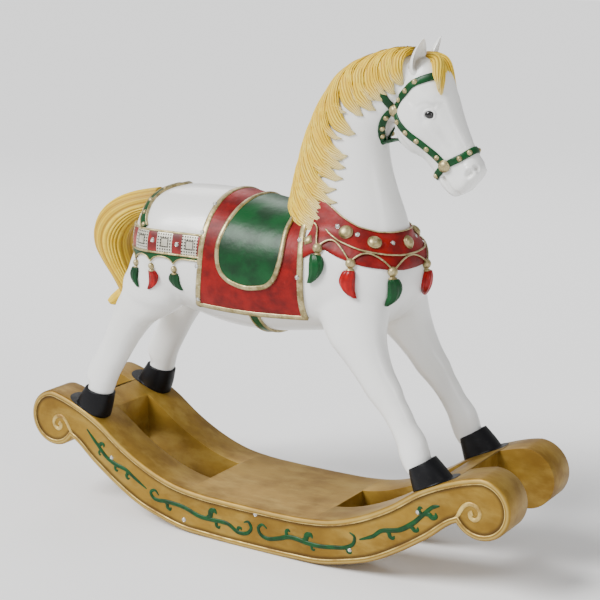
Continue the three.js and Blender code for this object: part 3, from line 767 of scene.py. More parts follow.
def combed_limb(name, stations, rings, sides, grooves, depth, side=1):
    """A limb with grooves combed along it."""
    rounds = limb_rings(stations, rings, sides, side)
    middle = rounds.mean(axis=1, keepdims=True)
    share = np.linspace(0, 1, rings)[:, None]
    turn = turns(sides)[None, :]
    comb = 0.5 + 0.5 * np.cos(grooves * (turn + 0.5 * np.sin(3 * turn)) + 0 * share)
    comb = 0.75 * comb + 0.25 * (0.5 + 0.5 * np.cos(2.6 * grooves * turn + 3 * share))
    rounds = middle + (rounds - middle) * (1 - depth * (1 - comb))[..., None]
    made = loft(name, rounds)
    add_attribute(made, "groove", np.concatenate([(1 - comb).ravel(), [0, 0]]))
    add_attribute(made, "root_to_tip", np.concatenate([(share + 0 * turn).ravel() * 0.7 + 0.1, [0.1, 0.8]]))
    return made


tail_flick_stations = [
    (-258, 297, -247, 281, 8, 6),
    (-266, 289, -255, 273, 8, 10),
    (-273, 282, -263, 269, 6, 13),
    (-277, 276, -270, 269, 3, 15),
]
loop = combed_limb("loop", tail_stations, 90, 150, 15, 0.075)
flick = combed_limb("flick", tail_flick_stations, 24, 36, 5, 0.12, -1)
tail_piece = joined("tail", [loop, flick])
tail_piece.data.materials.append(hair_paint)
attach(tail_piece, "root")
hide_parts("horse")


# The saddle-cloth: cast on the back as a thin raised sheet, painted a mottled red, with a champagne gold
# border that holds seven lamps on each side. Rays from the middle of the trunk find the skin under it.

bpy.context.view_layer.update()
skin = BVHTree.FromObject(white_body, bpy.context.evaluated_depsgraph_get())
trunk_axis_height = 355


def skin_from(inside, away, lift=0.0):
    """Where a way from a place inside leaves the skin, lifted off it in millimetres."""
    inside, away = Vector(inside) * millimetre, Vector(away)
    hit = skin.ray_cast(inside + away * 0.3, -away, 0.3)[0]
    return np.array(hit if hit is not None else inside) + np.array(away) * lift * millimetre


def on_skin(point):
    """The nearest place of the skin, and the way it faces."""
    near, normal, _, _ = skin.find_nearest(point)
    return np.array(near), np.array(normal)


def over_trunk(x, turn, lift=0.0):
    """A point over the trunk at x and a turn from its spine, negative on the near side."""
    return skin_from((x, 0, trunk_axis_height), (0, math.sin(turn), math.cos(turn)), lift)


def turn_at(x, z):
    """The turn from the spine at which the trunk's skin comes down to a height."""
    low, high = 0.0, 2.6
    for _ in range(14):
        middle = (low + high) / 2
        if over_trunk(x, middle)[2] > z * millimetre:
            low = middle
        else:
            high = middle
    return (low + high) / 2


def grid_sheet(name, points, thickness):
    """A sheet over a grid of points, thickened inwards."""
    rows, columns, _ = points.shape
    row, column = np.meshgrid(np.arange(rows - 1), np.arange(columns - 1), indexing="ij")
    corner = (row * columns + column).ravel()
    faces = np.stack([corner, corner + 1, corner + columns + 1, corner + columns], -1)
    a, b, c = (points.reshape(-1, 3)[faces[:, k]] for k in range(3))
    outward = a - np.array([0, 0, trunk_axis_height]) * millimetre
    if np.einsum("ij,ij->", np.cross(b - a, c - a), outward) < 0:
        faces = faces[:, ::-1]
    made = mesh_object(name, points.reshape(-1, 3), faces.tolist())
    apply_modifier(made, "SOLIDIFY", thickness=thickness * millimetre, offset=-1)
    return made


cloth_low = 303
cloth_rear = smooth_curve([(303, -88), (345, -77), (391, -73), (435, -70), (470, -70)], 120)
cloth_front = smooth_curve([(303, 74), (382, 74), (430, 57), (448, 38), (470, 38)], 120)
cloth_turns = np.linspace(-turn_at(0, cloth_low), turn_at(0, cloth_low), 91)


def between_edges(rear_edge, front_edge, turn, across, lift):
    """A point over the trunk at a share across a piece whose edges are rows of a height and an x."""
    z = over_trunk(0, turn)[2] / millimetre
    rear, front = (np.interp(z, *edge.T) for edge in (rear_edge, front_edge))
    return over_trunk(rear + (front - rear) * across, turn, lift)


def cloth_point(turn, across, lift):
    return between_edges(cloth_rear, cloth_front, turn, across, lift)


cloth_rows = [[cloth_point(turn, across, 2.6) for across in np.linspace(0, 1, 61)] for turn in cloth_turns]
cloth = grid_sheet("saddle_cloth", np.array(cloth_rows), 4)


def strap(name, path, low, high, lift, crown=0.6, closed=False, steps=9):
    """A cast strap along a path on the skin, from low to high to either side of it in millimetres, with a
    rounded top that stands off the skin. Its places along and across are attributes, in millimetres."""
    path = np.asarray(path, float)
    count = len(path)
    low, high = np.broadcast_to(low, count), np.broadcast_to(high, count)
    ahead = np.roll(path, -1, 0) - np.roll(path, 1, 0)
    if not closed:
        ahead[0], ahead[-1] = path[1] - path[0], path[-1] - path[-2]
    ahead = unit(ahead)
    shares = np.linspace(0, 1, steps)
    rings = np.zeros((count, steps + 2, 3))
    for i in range(count):
        side = unit(np.cross(on_skin(path[i])[1], ahead[i]))
        for j, share in enumerate(shares):
            near, normal = on_skin(path[i] + side * (low[i] + (high[i] - low[i]) * share) * millimetre)
            rings[i, j] = near + normal * (lift - crown * abs(2 * share - 1) ** 2.5) * millimetre
        for j, above in ((steps, steps - 1), (steps + 1, 0)):
            near, normal = on_skin(rings[i, above])
            rings[i, j] = near - normal * millimetre
    length = np.concatenate([[0], np.cumsum(np.linalg.norm(np.diff(path, axis=0), axis=1))]) / millimetre
    offsets = low[:, None] + (high - low)[:, None] * np.concatenate([shares, [1, 0]])[None, :]
    made = loft(name, rings, closed)
    ends = np.zeros(0 if closed else 2)
    add_attribute(made, "along", np.concatenate([(length[:, None] + 0 * offsets).ravel(), ends]))
    add_attribute(made, "across", np.concatenate([offsets.ravel(), ends]))
    return made


border_lift = 3.8
turns_of_edge = np.linspace(cloth_turns[0], cloth_turns[-1], 121)
borders = []
for across, low, high in ((0.0, -6.2, 0.8), (1.0, -0.8, 6.2)):
    path = [cloth_point(turn, across, 2.0) for turn in turns_of_edge]
    borders.append(strap("border", path, low, high, border_lift))
for turn in (cloth_turns[0], cloth_turns[-1]):
    path = [cloth_point(turn, across, 2.0) for across in np.linspace(0.0, 1.0, 61)]
    low, high = (-0.8, 6.2) if turn < 0 else (-6.2, 0.8)
    borders.append(strap("border", path, low, high, border_lift))
cloth_border = joined("cloth_border", borders)

red = Paint("mottled red paint")
red_mottle = red.noise(38, 5, 0.6)
red_colour = red.mix(red_mottle.between(0.35, 0.72), (0.235, 0.004, 0.003), (0.085, 0.002, 0.002))
red_colour = red.mix(red.noise(140, 3).between(0.62, 0.8) * 0.25, red_colour, (0.34, 0.02, 0.015))
red_paint = red.finish(
    red_colour,
    0.30 + 0.25 * red_mottle,
    height=red_mottle + 0.4 * red.noise(160, 3),
    depth=0.0006,
    specular_ior_level=0.2,
)
gold = Paint("champagne gold paint")
gold_wear = gold.noise(90, 4, 0.6)
gold_colour = gold.mix(gold_wear.between(0.38, 0.7), (0.50, 0.42, 0.22), (0.22, 0.17, 0.07))
gold_colour = gold.mix(gold.noise(260, 2).between(0.6, 0.75) * 0.6, gold_colour, (0.70, 0.64, 0.42))
gold_paint = gold.finish(
    gold_colour, 0.30 + 0.25 * gold_wear, 0.75, height=gold_wear + 0.3 * gold.noise(300, 2), depth=0.0004
)
cloth.data.materials.append(red_paint)
cloth_border.data.materials.append(gold_paint)
for piece in (cloth, cloth_border):
    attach(piece, "root")
    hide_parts("horse")

# The seat: a flap of smooth green on top of the cloth, that comes down each side in a round end, with a
# raised gold rim. Cast and painted with the rest.

seat_low = 339
seat_rear = [(339, -2), (340.5, -14), (346, -31), (359, -43), (383, -47), (407, -42), (432, -34), (443, -28)]
seat_front = [(339, -2), (340.5, 11), (345, 27), (358, 39), (383, 45), (415, 41), (443, 36)]
seat_rear, seat_front = (smooth_curve([*edge, (470, edge[-1][1])], 200) for edge in (seat_rear, seat_front))
seat_limit = turn_at(0, seat_low)
seat_turns = seat_limit * np.sin(np.linspace(-np.pi / 2, np.pi / 2, 141))


def seat_point(turn, across, lift):
    return between_edges(seat_rear, seat_front, turn, across, lift)


def seat_lift(turn, across):
    """The seat is a little fuller in its middle than at its edge."""
    middle = (1 - (2 * across - 1) ** 4) * (1 - (turn / seat_limit) ** 6)
    return 4.6 + 1.6 * middle


seat_rows = [
    [seat_point(turn, across, seat_lift(turn, across)) for across in np.linspace(0, 1, 41)]
    for turn in seat_turns
]
seat = grid_sheet("seat", np.array(seat_rows), 5)
rim = [seat_point(turn, 0, 2) for turn in seat_turns[1:-1]]
rim += [seat_point(turn, 1, 2) for turn in seat_turns[-2:0:-1]]
rim = smooth_curve(rim[::2] + rim[:1], 260)[:-1]
seat_rim = strap("seat_rim", rim, -3.4, 2.4, 6.4, crown=1.2, closed=True)
green = Paint("glossy green paint")
green_mottle = green.noise(30, 4, 0.6)
green_colour = green.mix(green_mottle.between(0.35, 0.7), (0.001, 0.060, 0.013), (0.001, 0.026, 0.006))
green_paint = green.finish(
    green_colour,
    0.24 + 0.25 * green_mottle,
    height=green_mottle + 0.3 * green.noise(120, 3),
    depth=0.0005,
    specular_ior_level=0.25,
)
seat.data.materials.append(green_paint)
seat_rim.data.materials.append(gold_paint)
for piece in (seat, seat_rim):
    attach(piece, "root")
    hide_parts("horse")


# The rump band, its green scallops and the crupper: straps cast round the hindquarters. The band runs in
# red and beaded silver blocks, and a green strap with gold studs goes up from it over the rump.

band_low, band_high = 367, 396


def around_rump(z):
    """Points round the hindquarters at a height, from the near side to the far side of the cloth's edge."""
    out = []
    for t in np.linspace(-1, 1, 161):
        turn = math.pi / 2 * min(abs(t) * 2, 1)
        inside = (-165 + max(abs(t) * 200 - 100, 0) * 0.93, 0, z)
        out.append(skin_from(inside, (-math.cos(turn), math.copysign(math.sin(turn), t), 0)))
    return np.array(out)


band_middle = (band_low + band_high) / 2
band_path = smooth_curve(around_rump(band_middle), 321)
half_band = (band_high - band_low) / 2
rump_band = strap("rump_band", band_path, -half_band, half_band, 2.8, steps=15)
edge_lows = (-half_band - 0.6, half_band - 2.4)
edges = [strap("edge", band_path, low, low + 3, 3.8, crown=1.4) for low in edge_lows]
scallop_tops = [-178, -149.5, -113.5]
lower_path = smooth_curve(around_rump(band_low), 321)
from_tassel = np.min(np.abs(lower_path[:, :1] / millimetre - np.array(scallop_tops)), axis=1)
on_side = ramp(-np.abs(lower_path[:, 1] / millimetre), -64, -50)
arch = np.clip(1 - from_tassel / 17, 0, 1)
drop = 3.4 + 9.6 * (1 - np.sqrt(1 - arch ** 2)) * (1 - on_side)
scallops = strap("scallops", lower_path, 0 * drop, drop, 1.8, crown=0.5)
scallop_rim = strap("scallop_rim", lower_path, drop - 1.0, drop + 1.2, 2.8, crown=1.0)

crupper_side = [(-164, 396), (-170, 405), (-174, 420), (-173, 431), (-167, 438)]
crupper_path = [over_trunk(x, -turn_at(x, z)) for x, z in crupper_side] + [over_trunk(-160, 0)]
crupper_path += [over_trunk(x, turn_at(x, z)) for x, z in crupper_side[::-1]]
crupper_path = smooth_curve(crupper_path, 121)
crupper = strap("crupper", crupper_path, -5.8, 5.8, 2.8)
edges += [strap("edge", crupper_path, low, low + 2, 3.6, crown=1.0, steps=5) for low in (-6.6, 4.6)]
cloth_end = cloth_turns[-1] + 0.02
girth_turns = np.linspace(cloth_end, 2 * np.pi - cloth_end, 61)
girth_path = [over_trunk(-2, turn) for turn in girth_turns]
girth = strap("girth", girth_path, -6.5, 6.5, 2.4)
edges += [strap("edge", girth_path, low, low + 2, 3.2, crown=1.0, steps=5) for low in (-7.2, 5.2)]
green_straps = joined("green_straps", [crupper, girth, scallops])
green_straps.data.materials.append(green_paint)
gold_edges = joined("gold_edges", [*edges, scallop_rim])
gold_edges.data.materials.append(gold_paint)

blocks = Paint("red and beaded silver blocks")
along, across = blocks.attribute("along"), blocks.attribute("across")
block_pitch, bead_pitch = 38, 3.7
band_length = np.linalg.norm(np.diff(band_path, axis=0), axis=1).sum() / millimetre
along = along.least(band_length - along)  # from the nearer end, so that both sides match
phase = ((along + 2) / block_pitch).fraction()
silver = (phase.distance_from(0.5) < 0.31)
square = (phase.distance_from(0.5) < 0.12).least(across.distance_from(0) < 4.4)
moat = (phase.distance_from(0.5) < 0.16).least(across.distance_from(0) < 6.0) - square
bead_u = (along / bead_pitch).fraction() - 0.5
bead_v = ((across + 60) / bead_pitch).fraction() - 0.5
hole = ((bead_u * bead_u + bead_v * bead_v) < 0.085).least(1 - square).most(moat * 0.8)
silver_colour = blocks.mix(hole * 0.95, (0.62, 0.60, 0.50), (0.010, 0.008, 0.006))
rubbed = square.least(blocks.noise(120).between(0.3, 0.8)) * 0.5
silver_colour = blocks.mix(rubbed, silver_colour, (0.33, 0.29, 0.19))
red_block = blocks.mix(blocks.noise(70).between(0.4, 0.7), (0.235, 0.004, 0.003), (0.085, 0.002, 0.002))
block_colour = blocks.mix(silver, red_block, silver_colour)
rump_band.data.materials.append(
    blocks.finish(block_colour, 0.38, silver * 0.55, height=silver * (1 - hole) + square * 0.6, depth=0.0012)
)
for piece in (rump_band, green_straps, gold_edges):
    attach(piece, "root")
    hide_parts("horse")

# The breast collar: a broad red band round the chest, with domed studs between its lamps and two runs of
# gold wire on it. Cast with the horse, and painted.

collar_turns = [0.0, 0.31, 0.54, 0.88, 1.24, 1.48, 1.72, 1.9]
collar_upper = [416, 416, 417, 423, 434, 442, 449, 455]
collar_lower = [372, 373, 376, 381, 389, 396, 389, 380]
chest_axis = 95


def around_chest(turn, z, lift=0.0):
    """A point of the chest at a turn from straight ahead (negative on the near side) and a height."""
    return skin_from((chest_axis, 0, z), (math.cos(turn), math.sin(turn), 0), lift)


def collar_height(turn, share):
    """The height on the collar at a turn: share 0 is its lower edge and 1 its upper edge."""
    low, high = (np.interp(abs(turn), collar_turns, edge) for edge in (collar_lower, collar_upper))
    return low + (high - low) * share


collar_rows = [
    [
        around_chest(turn, collar_height(turn, share), 3.0 - 1.4 * abs(2 * share - 1) ** 8)
        for share in np.linspace(0, 1, 25)
    ]
    for turn in np.linspace(-1.9, 1.9, 241)
]
collar = grid_sheet("breast_collar", np.array(collar_rows), 4)
collar.data.materials.append(red_paint)


def wire(path, radius=1.1, lift=4.2):
    """A round wire along a path on the skin."""
    path = np.asarray(path, float)
    rings = []
    for point, forward in zip(path, unit(np.gradient(path, axis=0))):
        near, out = on_skin(point)
        side = unit(np.cross(out, forward))
        section = [side * math.cos(a) * radius + out * (math.sin(a) * radius + lift) for a in turns(10)]
        rings.append(near + np.array(section) * millimetre)
    return loft("wire", rings)


tassel_turns = [-1.60, -1.03, -0.50, 0.26, 0.95, 1.50]
tassel_heights = [396, 383, 373, 371, 381, 397]
main_turns, main_heights = [0, 0.31, 0.54, 0.88, 1.24, 1.48, 1.66], [388, 388.5, 391, 396.5, 405, 412.6, 420]
main_wire = [
    around_chest(turn, np.interp(abs(turn), main_turns, main_heights))
    for turn in np.linspace(-1.56, 1.56, 161)
]
edge_wire = [around_chest(turn, collar_height(turn, 0.98)) for turn in np.linspace(-1.88, 1.88, 161)]
wires = [wire(main_wire, lift=4.0), wire(edge_wire, 0.9, 2.6)]
fall = np.linspace(0, 1, 24)
for end, low in ((tassel_turns[0], tassel_heights[0]), (tassel_turns[-1], tassel_heights[-1])):
    turn = end + math.copysign(1.88 - abs(end), end) * (1 - fall)
    wires.append(wire([around_chest(a, low + 26 * (1 - f ** 1.8)) for a, f in zip(turn, fall)]))
t = np.linspace(0, 1, 41)
for n in range(len(tassel_turns) - 1):
    turn, low = (ends[n] + (ends[n + 1] - ends[n]) * t for ends in (tassel_turns, tassel_heights))
    rise = 15 * np.sin(np.pi * t) ** 0.8
    wires.append(wire([around_chest(a, z) for a, z in zip(turn, low + rise)]))
collar_wires = joined("collar_wires", wires)
collar_wires.data.materials.append(gold_paint)

# Domed studs, pearls and tassels: turned knobs of gold, and the tassels below them, green and red in turn,
# each a plump twist of cord that curls to its tip.


def turned(name, place, facing, profile, sides, closed=False):
    """A turned form that stands on a place the way it faces, from its profile of radii and heights."""
    side = unit(np.cross(facing, [0.3, 0.2, 0.9]))
    other = np.cross(facing, side)
    spokes = [side * math.cos(a) + other * math.sin(a) for a in turns(sides)]
    rings = [[place + (spoke * r + facing * h) * millimetre for spoke in spokes] for r, h in profile]
    return loft(name, rings, closed)


def dome(name, middle, radius, height, lift, sides=28, rows=12):
    """A low dome with a fine rim, on the skin nearest to a place."""
    place, facing = on_skin(middle)
    profile = [(radius * 1.16, -1.0), (radius * 1.16, 0.25 * height), (radius, 0.3 * height)]
    for a in np.linspace(0.05, 1.5, rows):
        profile.append((radius * math.cos(a), height * (0.3 + 0.7 * math.sin(a))))
    return turned(name, place + facing * lift * millimetre, facing, profile, sides)


studs = []
for turn in (-1.12, -0.66, -0.04, 0.62, 1.12):
    studs.append(dome("stud", around_chest(turn, collar_height(turn, 0.64)), 7.4, 6.0, 2.8))
for side in (-1, 1):
    studs.append(dome("diamond", np.array((76, side * 77, 410)) * millimetre, 6.2, 2.4, 2.6, sides=4, rows=3))
    for x, z in [(-166, 399), (-172, 412), (-173.5, 425), (-168, 437)]:
        studs.append(dome("stud", over_trunk(x, side * turn_at(x, z)), 2.8, 2.2, 2.4, sides=16, rows=7))


def tassel(middle, lean, ball=6.2, half=9.8, length=40, lift=3.2, depth=0.72):
    """A knob with a cap below it, and a twisted tuft that curls to its tip: (gold part, cord part)."""
    place, facing = on_skin(middle)
    down = np.array([0, 0, -1.0])
    side = unit(np.cross(down, facing))
    profile = [(ball * math.cos(a), ball * math.sin(a)) for a in np.linspace(-1.45, 1.1, 12)]
    profile += [(ball * r, ball * h) for r, h in ((0.5, 1.0), (0.84, 1.16), (0.9, 1.4), (0.6, 1.6))]
    knob = turned("knob", place + facing * lift * 0.7 * millimetre, down, profile, 32)
    rings = []
    for t in np.linspace(0, 1, 34):
        r = half * 1.1 * math.sin(math.pi * (0.16 + 0.78 * t ** 0.9)) ** 0.62 * (1 - 0.22 * t)
        sway = lean * half * (0.30 * math.sin(math.pi * t * 0.9) - 0.80 * t ** 2.6)
        h = 1.4 * ball + (length - 1.4 * ball) * t
        near, off = on_skin(place + (side * sway + down * h) * millimetre)
        ring = []
        for b in turns(32):
            flute = 1 - 0.17 * (0.5 + 0.5 * math.cos(8 * b + 4.0 * t * lean))
            wide, deep = math.cos(b) * r * flute, math.sin(b) * r * depth * flute
            ring.append(near + (side * wide + off * (deep + lift)) * millimetre)
        rings.append(ring)
    return knob, loft("cord", rings)


knobs, green_cords, red_cords = [], [], []
hung = []
for n, (turn, z) in enumerate(zip(tassel_turns, tassel_heights)):
    hung.append((around_chest(turn, z), 1 if n % 2 else -1, {}))
small = {"ball": 4.3, "half": 8.4, "length": 31, "lift": 0.6, "depth": 0.4}
for side in (-1, 1):
    for n, x in enumerate(scallop_tops):
        hung.append((skin_from((x, 0, 349), (0, side, 0)), side * (1 if n % 2 else -1), small))
for n, (middle, lean, sizes) in enumerate(hung):
    knob, cord = tassel(middle, lean, **sizes)
    knobs.append(knob)
    (red_cords if n in (1, 3, 5, 7, 10) else green_cords).append(cord)

bright_red = Paint("glossy red paint")
bright_red_paint = bright_red.finish(
    bright_red.mix(bright_red.noise(90).between(0.35, 0.7), (0.36, 0.003, 0.003), (0.16, 0.002, 0.002)),
    0.28,
    height=bright_red.noise(150, 3),
    depth=0.0004,
    specular_ior_level=0.25,
)
green_tassels = joined("green_tassels", green_cords)
green_tassels.data.materials.append(green_paint)
red_tassels = joined("red_tassels", red_cords)
red_tassels.data.materials.append(bright_red_paint)
gold_studs = joined("gold_studs", studs + knobs)
gold_studs.data.materials.append(gold_paint)
for piece in (collar, collar_wires, green_tassels, red_tassels, gold_studs):
    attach(piece, "root")
    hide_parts("horse")


# The bridle: narrow green straps cast on the head, with gold pearl studs along them and a large stud where
# they cross. The eyes are black glass beads set in the casting, with a lid modelled round each.

cheek_cross = (165, 23, 559)
bit_cross = (231, 19, 499)
strap_lines = [
    [(214, 14, 599), (205, 22, 597), (195, 26, 592), (184, 26, 583), (174, 25, 572), cheek_cross],
    [(150, 22, 580), (156, 22, 571), cheek_cross],
    [cheek_cross, (154, 22, 547), (149, 19, 536), (149, 14, 526), (153, 8, 519), (157, 0, 516)],
    [cheek_cross, (175, 26, 547), (187, 26, 537), (199, 25, 528), (210, 23, 518), (222, 21, 508), bit_cross],
]
bridle_straps = []
for side in (-1, 1):
    for line in strap_lines:
        path = smooth_curve(np.array(line) * (1, side, 1) * millimetre, 61)
        path = [on_skin(point)[0] for point in path]
        bridle_straps.append(strap("strap", path, -4.4, 4.4, 2.4, crown=0.9))
noseband = [bit_cross, (249, 18, 509), (259, 11, 516), (263, 0, 519)]
noseband += [(x, -y, z) for x, y, z in noseband[-2::-1]]
chin = [(219, -13, 487), (214, 0, 483), (219, 13, 487)]
loop = smooth_curve(np.array(noseband + chin + [bit_cross]) * millimetre, 181)[:-1]
loop = [on_skin(point)[0] for point in loop]
bridle_straps.append(strap("strap", loop, -4.2, 4.2, 2.4, crown=0.9, closed=True))
bridle = joined("bridle", bridle_straps)
bridle.data.materials.append(green_paint)

pearl_places = [
    (195.5, 26, 592.7), (184, 26, 583), (174.3, 26, 572), (155, 22, 548), (149, 18.5, 535),
    (149.5, 13.5, 525), (175, 26, 547), (187, 26, 537), (199, 26, 528), (210, 23, 518), (222, 22, 508),
    (249.5, 19, 509), (259, 12, 516), (219, 13, 487),
]
bridle_studs = []
for side in (-1, 1):
    mirror = np.array((1, side, 1)) * millimetre
    bridle_studs += [dome("stud", place * mirror, 2.8, 3.0, 1.9, sides=16, rows=7) for place in pearl_places]
    bridle_studs += [dome("stud", place * mirror, 6.2, 5.2, 2.0) for place in (cheek_cross, bit_cross)]
bridle_studs = joined("bridle_studs", bridle_studs)
bridle_studs.data.materials.append(gold_paint)

eye_middle = (214.4, 28, 557.7)
eyes, lids = [], []
for side in (-1, 1):
    middle = np.array(eye_middle) * (1, side, 1) * millimetre
    place, facing = on_skin(middle)
    eyes.append(dome("eye", middle, 4.3, 3.6, -0.6, sides=32, rows=16))
    tangent = unit(np.cross(facing, [0, 0, 1.0]))
    upward = np.cross(tangent, facing)
    rings = []
    for a in turns(48):
        away = tangent * math.cos(a) * 1.12 + upward * math.sin(a)
        thick = 1.25 + 0.5 * max(math.sin(a), 0)
        centre = place + (away * 6.0 + facing * (0.5 + 0.5 * math.sin(a))) * millimetre
        flat = unit(away)
        section = np.array([flat * math.cos(b) + facing * math.sin(b) for b in turns(12)])
        rings.append(centre + section * thick * millimetre)
    lids.append(loft("lid", rings, closed=True))
eyes = joined("eyes", eyes)
lids = joined("eyelids", lids)


def two_tone(name, scale, first, second, roughness, metallic=0.0, **settings):
    """A material of two near colours in small patches."""
    paint = Paint(name)
    patches = paint.noise(scale).between(0.3, 0.7)
    return paint.finish(paint.mix(patches, first, second), roughness, metallic, **settings)


black = two_tone("glossy black eye", 400, (0.001, 0.001, 0.001), (0.003, 0.002, 0.002), 0.08, coat=0.4)
eyes.data.materials.append(black)
lids.data.materials.append(white.material)
for piece in (bridle, bridle_studs, eyes, lids):
    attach(piece, "root")
    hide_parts("horse")


# The rocker base: one casting of two scrolled runners and the deck between them, painted antique gold over
# brown. Its outline is drawn once, stepped in to the sunk panels, and the windows are cut through.

base_half_width, flat_half, notch_turn = 87, 30, math.atan2(-0.6, -0.8)


def scroll_point(turn):
    return scroll_centre_x + scroll_radius * math.cos(turn), scroll_centre_z + scroll_radius * math.sin(turn)


notch_x, notch_z = scroll_point(notch_turn)
bottom_swing = np.array([0, 0.01, 0.03, 0.115, 0.24, 0.45, 0.71, 1])[:, None]


def underside(x):
    share = np.clip((np.abs(x) - flat_half) / (notch_x - flat_half), 0, 1)
    return notch_z * np.interp(share, np.linspace(0, 1, 801), smooth_curve(bottom_swing, 801)[:, 0])


def base_outline():
    """The side profile, one way round from the middle of the underside, in millimetres."""
    right = [(x, float(underside(x))) for x in np.linspace(0, notch_x, 50)[:-1]]
    right += [scroll_point(turn) for turn in np.linspace(notch_turn, np.pi / 2, 60)]
    right += [(x, float(deck_top(x))) for x in np.linspace(scroll_centre_x, 0, 60)[1:]]
    left = [(-x, z) for x, z in right[1:-1]][::-1]
    return np.array(right + left)


def inset(outline, distance):
    """An outline moved inwards at every corner."""
    before, after = unit(outline - np.roll(outline, 1, 0)), unit(np.roll(outline, -1, 0) - outline)
    first, second = (np.stack([-way[:, 1], way[:, 0]], 1) for way in (before, after))
    share = 1 + (first * second).sum(1)
    return outline + distance * (first + second) / share[:, None]


outline = base_outline()
steps_in = [(83.5, 0, 0), (85.2, 0.5, 0), (86.4, 1.7, -0.2), (87, 3.4, -0.4), (87, 6.2, 0), (86.2, 6.8, 0.8)]
steps_in += [(85.4, 7.6, 1), (85.4, 9.5, 0.75), (85.4, 13, 0.15)]
rows = [(-y, d, dark) for y, d, dark in steps_in[::-1]] + steps_in
rings = []
for y, distance, _ in rows:
    line = inset(outline, distance)
    rings.append(np.stack([line[:, 0], np.full(len(line), y), line[:, 1]], 1))
rings = np.array(rings) * (0.9991, 1, 1) * millimetre
count = len(outline)
row, place = np.meshgrid(np.arange(len(rows) - 1) * count, np.arange(count), indexing="ij")
after = (place + 1) % count
corners = [row + place, row + after, row + count + after, row + count + place]
faces = np.stack(corners, -1).reshape(-1, 4).tolist()
faces.append(list(range(count))[::-1])
faces.append(list(range((len(rows) - 1) * count, len(rows) * count)))
base = mesh_object("rocker_base_cast", rings.reshape(-1, 3), faces)
add_attribute(base, "recess", np.repeat([dark for _, _, dark in rows], count))
bpy.ops.object.select_all(action="DESELECT")
base.select_set(True)
bpy.context.view_layer.objects.active = base
bpy.ops.object.mode_set(mode="EDIT")
bpy.ops.mesh.select_all(action="SELECT")
bpy.ops.mesh.normals_make_consistent(inside=False)
bpy.ops.object.mode_set(mode="OBJECT")

cuts = [(174, 154, 66), (-174, 154, 66), (332, 100, 76), (-332, 100, 76)]
for middle, length, width in cuts:
    bpy.ops.mesh.primitive_cube_add(size=1, location=(middle * millimetre, 0, 0.08))
    cutter = bpy.context.object
    cutter.scale = (length * millimetre, width * millimetre, 0.3)
    bpy.ops.object.transform_apply(location=False, rotation=False, scale=True)
    apply_modifier(base, "BOOLEAN", operation="DIFFERENCE", object=cutter, solver="EXACT")
    bpy.data.objects.remove(cutter)
apply_modifier(base, "BEVEL", width=0.0012, segments=2, limit_method="ANGLE", angle_limit=math.radians(40))
bpy.ops.object.shade_smooth_by_angle(angle=math.radians(32))

antique = Paint("antique gold over brown paint")
long_grain = antique.noise(50, 4, 0.6, stretch=(0.4, 1, 1))
blotch = antique.noise(14, 4, 0.6)
recess = antique.attribute("recess")
antique_colour = antique.mix(blotch.between(0.3, 0.72), (0.30, 0.175, 0.022), (0.17, 0.088, 0.010))
antique_colour = antique.mix(long_grain.between(0.42, 0.72) * 0.45, antique_colour, (0.40, 0.27, 0.06))
antique_colour = antique.mix(recess.between(0.15, 1.0) * 0.75, antique_colour, (0.035, 0.015, 0.004))
antique_colour = antique.mix((0 - recess).between(0.05, 0.5) * 0.6, antique_colour, (0.60, 0.44, 0.14))
antique_paint = antique.finish(
    antique_colour,
    0.34 + 0.22 * blotch,
    0.5,
    height=long_grain + 0.5 * blotch,
    depth=0.0005,
    specular_ior_level=0.3,
)
base.data.materials.append(antique_paint)

# Carving on the sides: a pale gold bead inside the rim, and a ridge that comes in over the notch and winds
# up in each scroll. The vine is painted green.


def relief_wire(name, line, radii, y, flat=0.55, closed=False):
    """A rounded ridge along a line in the side view, on the face at y."""
    line, radii = np.asarray(line, float), np.asarray(radii, float)
    ahead = np.roll(line, -1, 0) - np.roll(line, 1, 0)
    if not closed:
        ahead[0], ahead[-1] = line[1] - line[0], line[-1] - line[-2]
    ahead = unit(ahead)
    across = np.stack([-ahead[:, 1], ahead[:, 0]], 1)
    columns = []
    for a in turns(10):
        flank = line + across * (radii * math.cos(a))[:, None]
        raised = y + math.copysign(1, y) * radii * flat * math.sin(a)
        columns.append(np.stack([flank[:, 0], raised, flank[:, 1]], 1))
    return loft(name, np.stack(columns, 1) * millimetre, closed)


spiral = [
    (262, 82), (280, 95), (290, 104), (295, 113), (300, 120), (307, 123.5), (315, 121.5), (319.5, 115.5),
    (318.5, 109), (313.5, 105), (308.5, 107), (307.5, 111.5), (310.5, 113.5),
]
spiral_line = smooth_curve(spiral, 90)
thickness = 2.9 * np.interp(np.linspace(0, 1, 90), [0, 0.25, 0.8, 1], [0.35, 0.9, 0.9, 1.25])
panel_face = base_half_width - 1.6
beads = []
for side in (-1, 1):
    beads.append(relief_wire("bead", inset(outline, 6.0), np.full(count, 1.5), side * 86.2, 0.5, closed=True))
    for end in (-1, 1):
        beads.append(relief_wire("ridge", spiral_line * (end, 1), thickness, side * panel_face, 0.42))
beads = joined("base_beads", beads)
pale = Paint("rubbed pale gold paint")
pale_wear = pale.noise(60, 4, 0.6)
beads.data.materials.append(
    pale.finish(
        pale.mix(pale_wear.between(0.35, 0.7), (0.62, 0.46, 0.14), (0.27, 0.15, 0.028)),
        0.32 + 0.2 * pale_wear,
        0.5,
        height=pale_wear,
        depth=0.0005,
    )
)

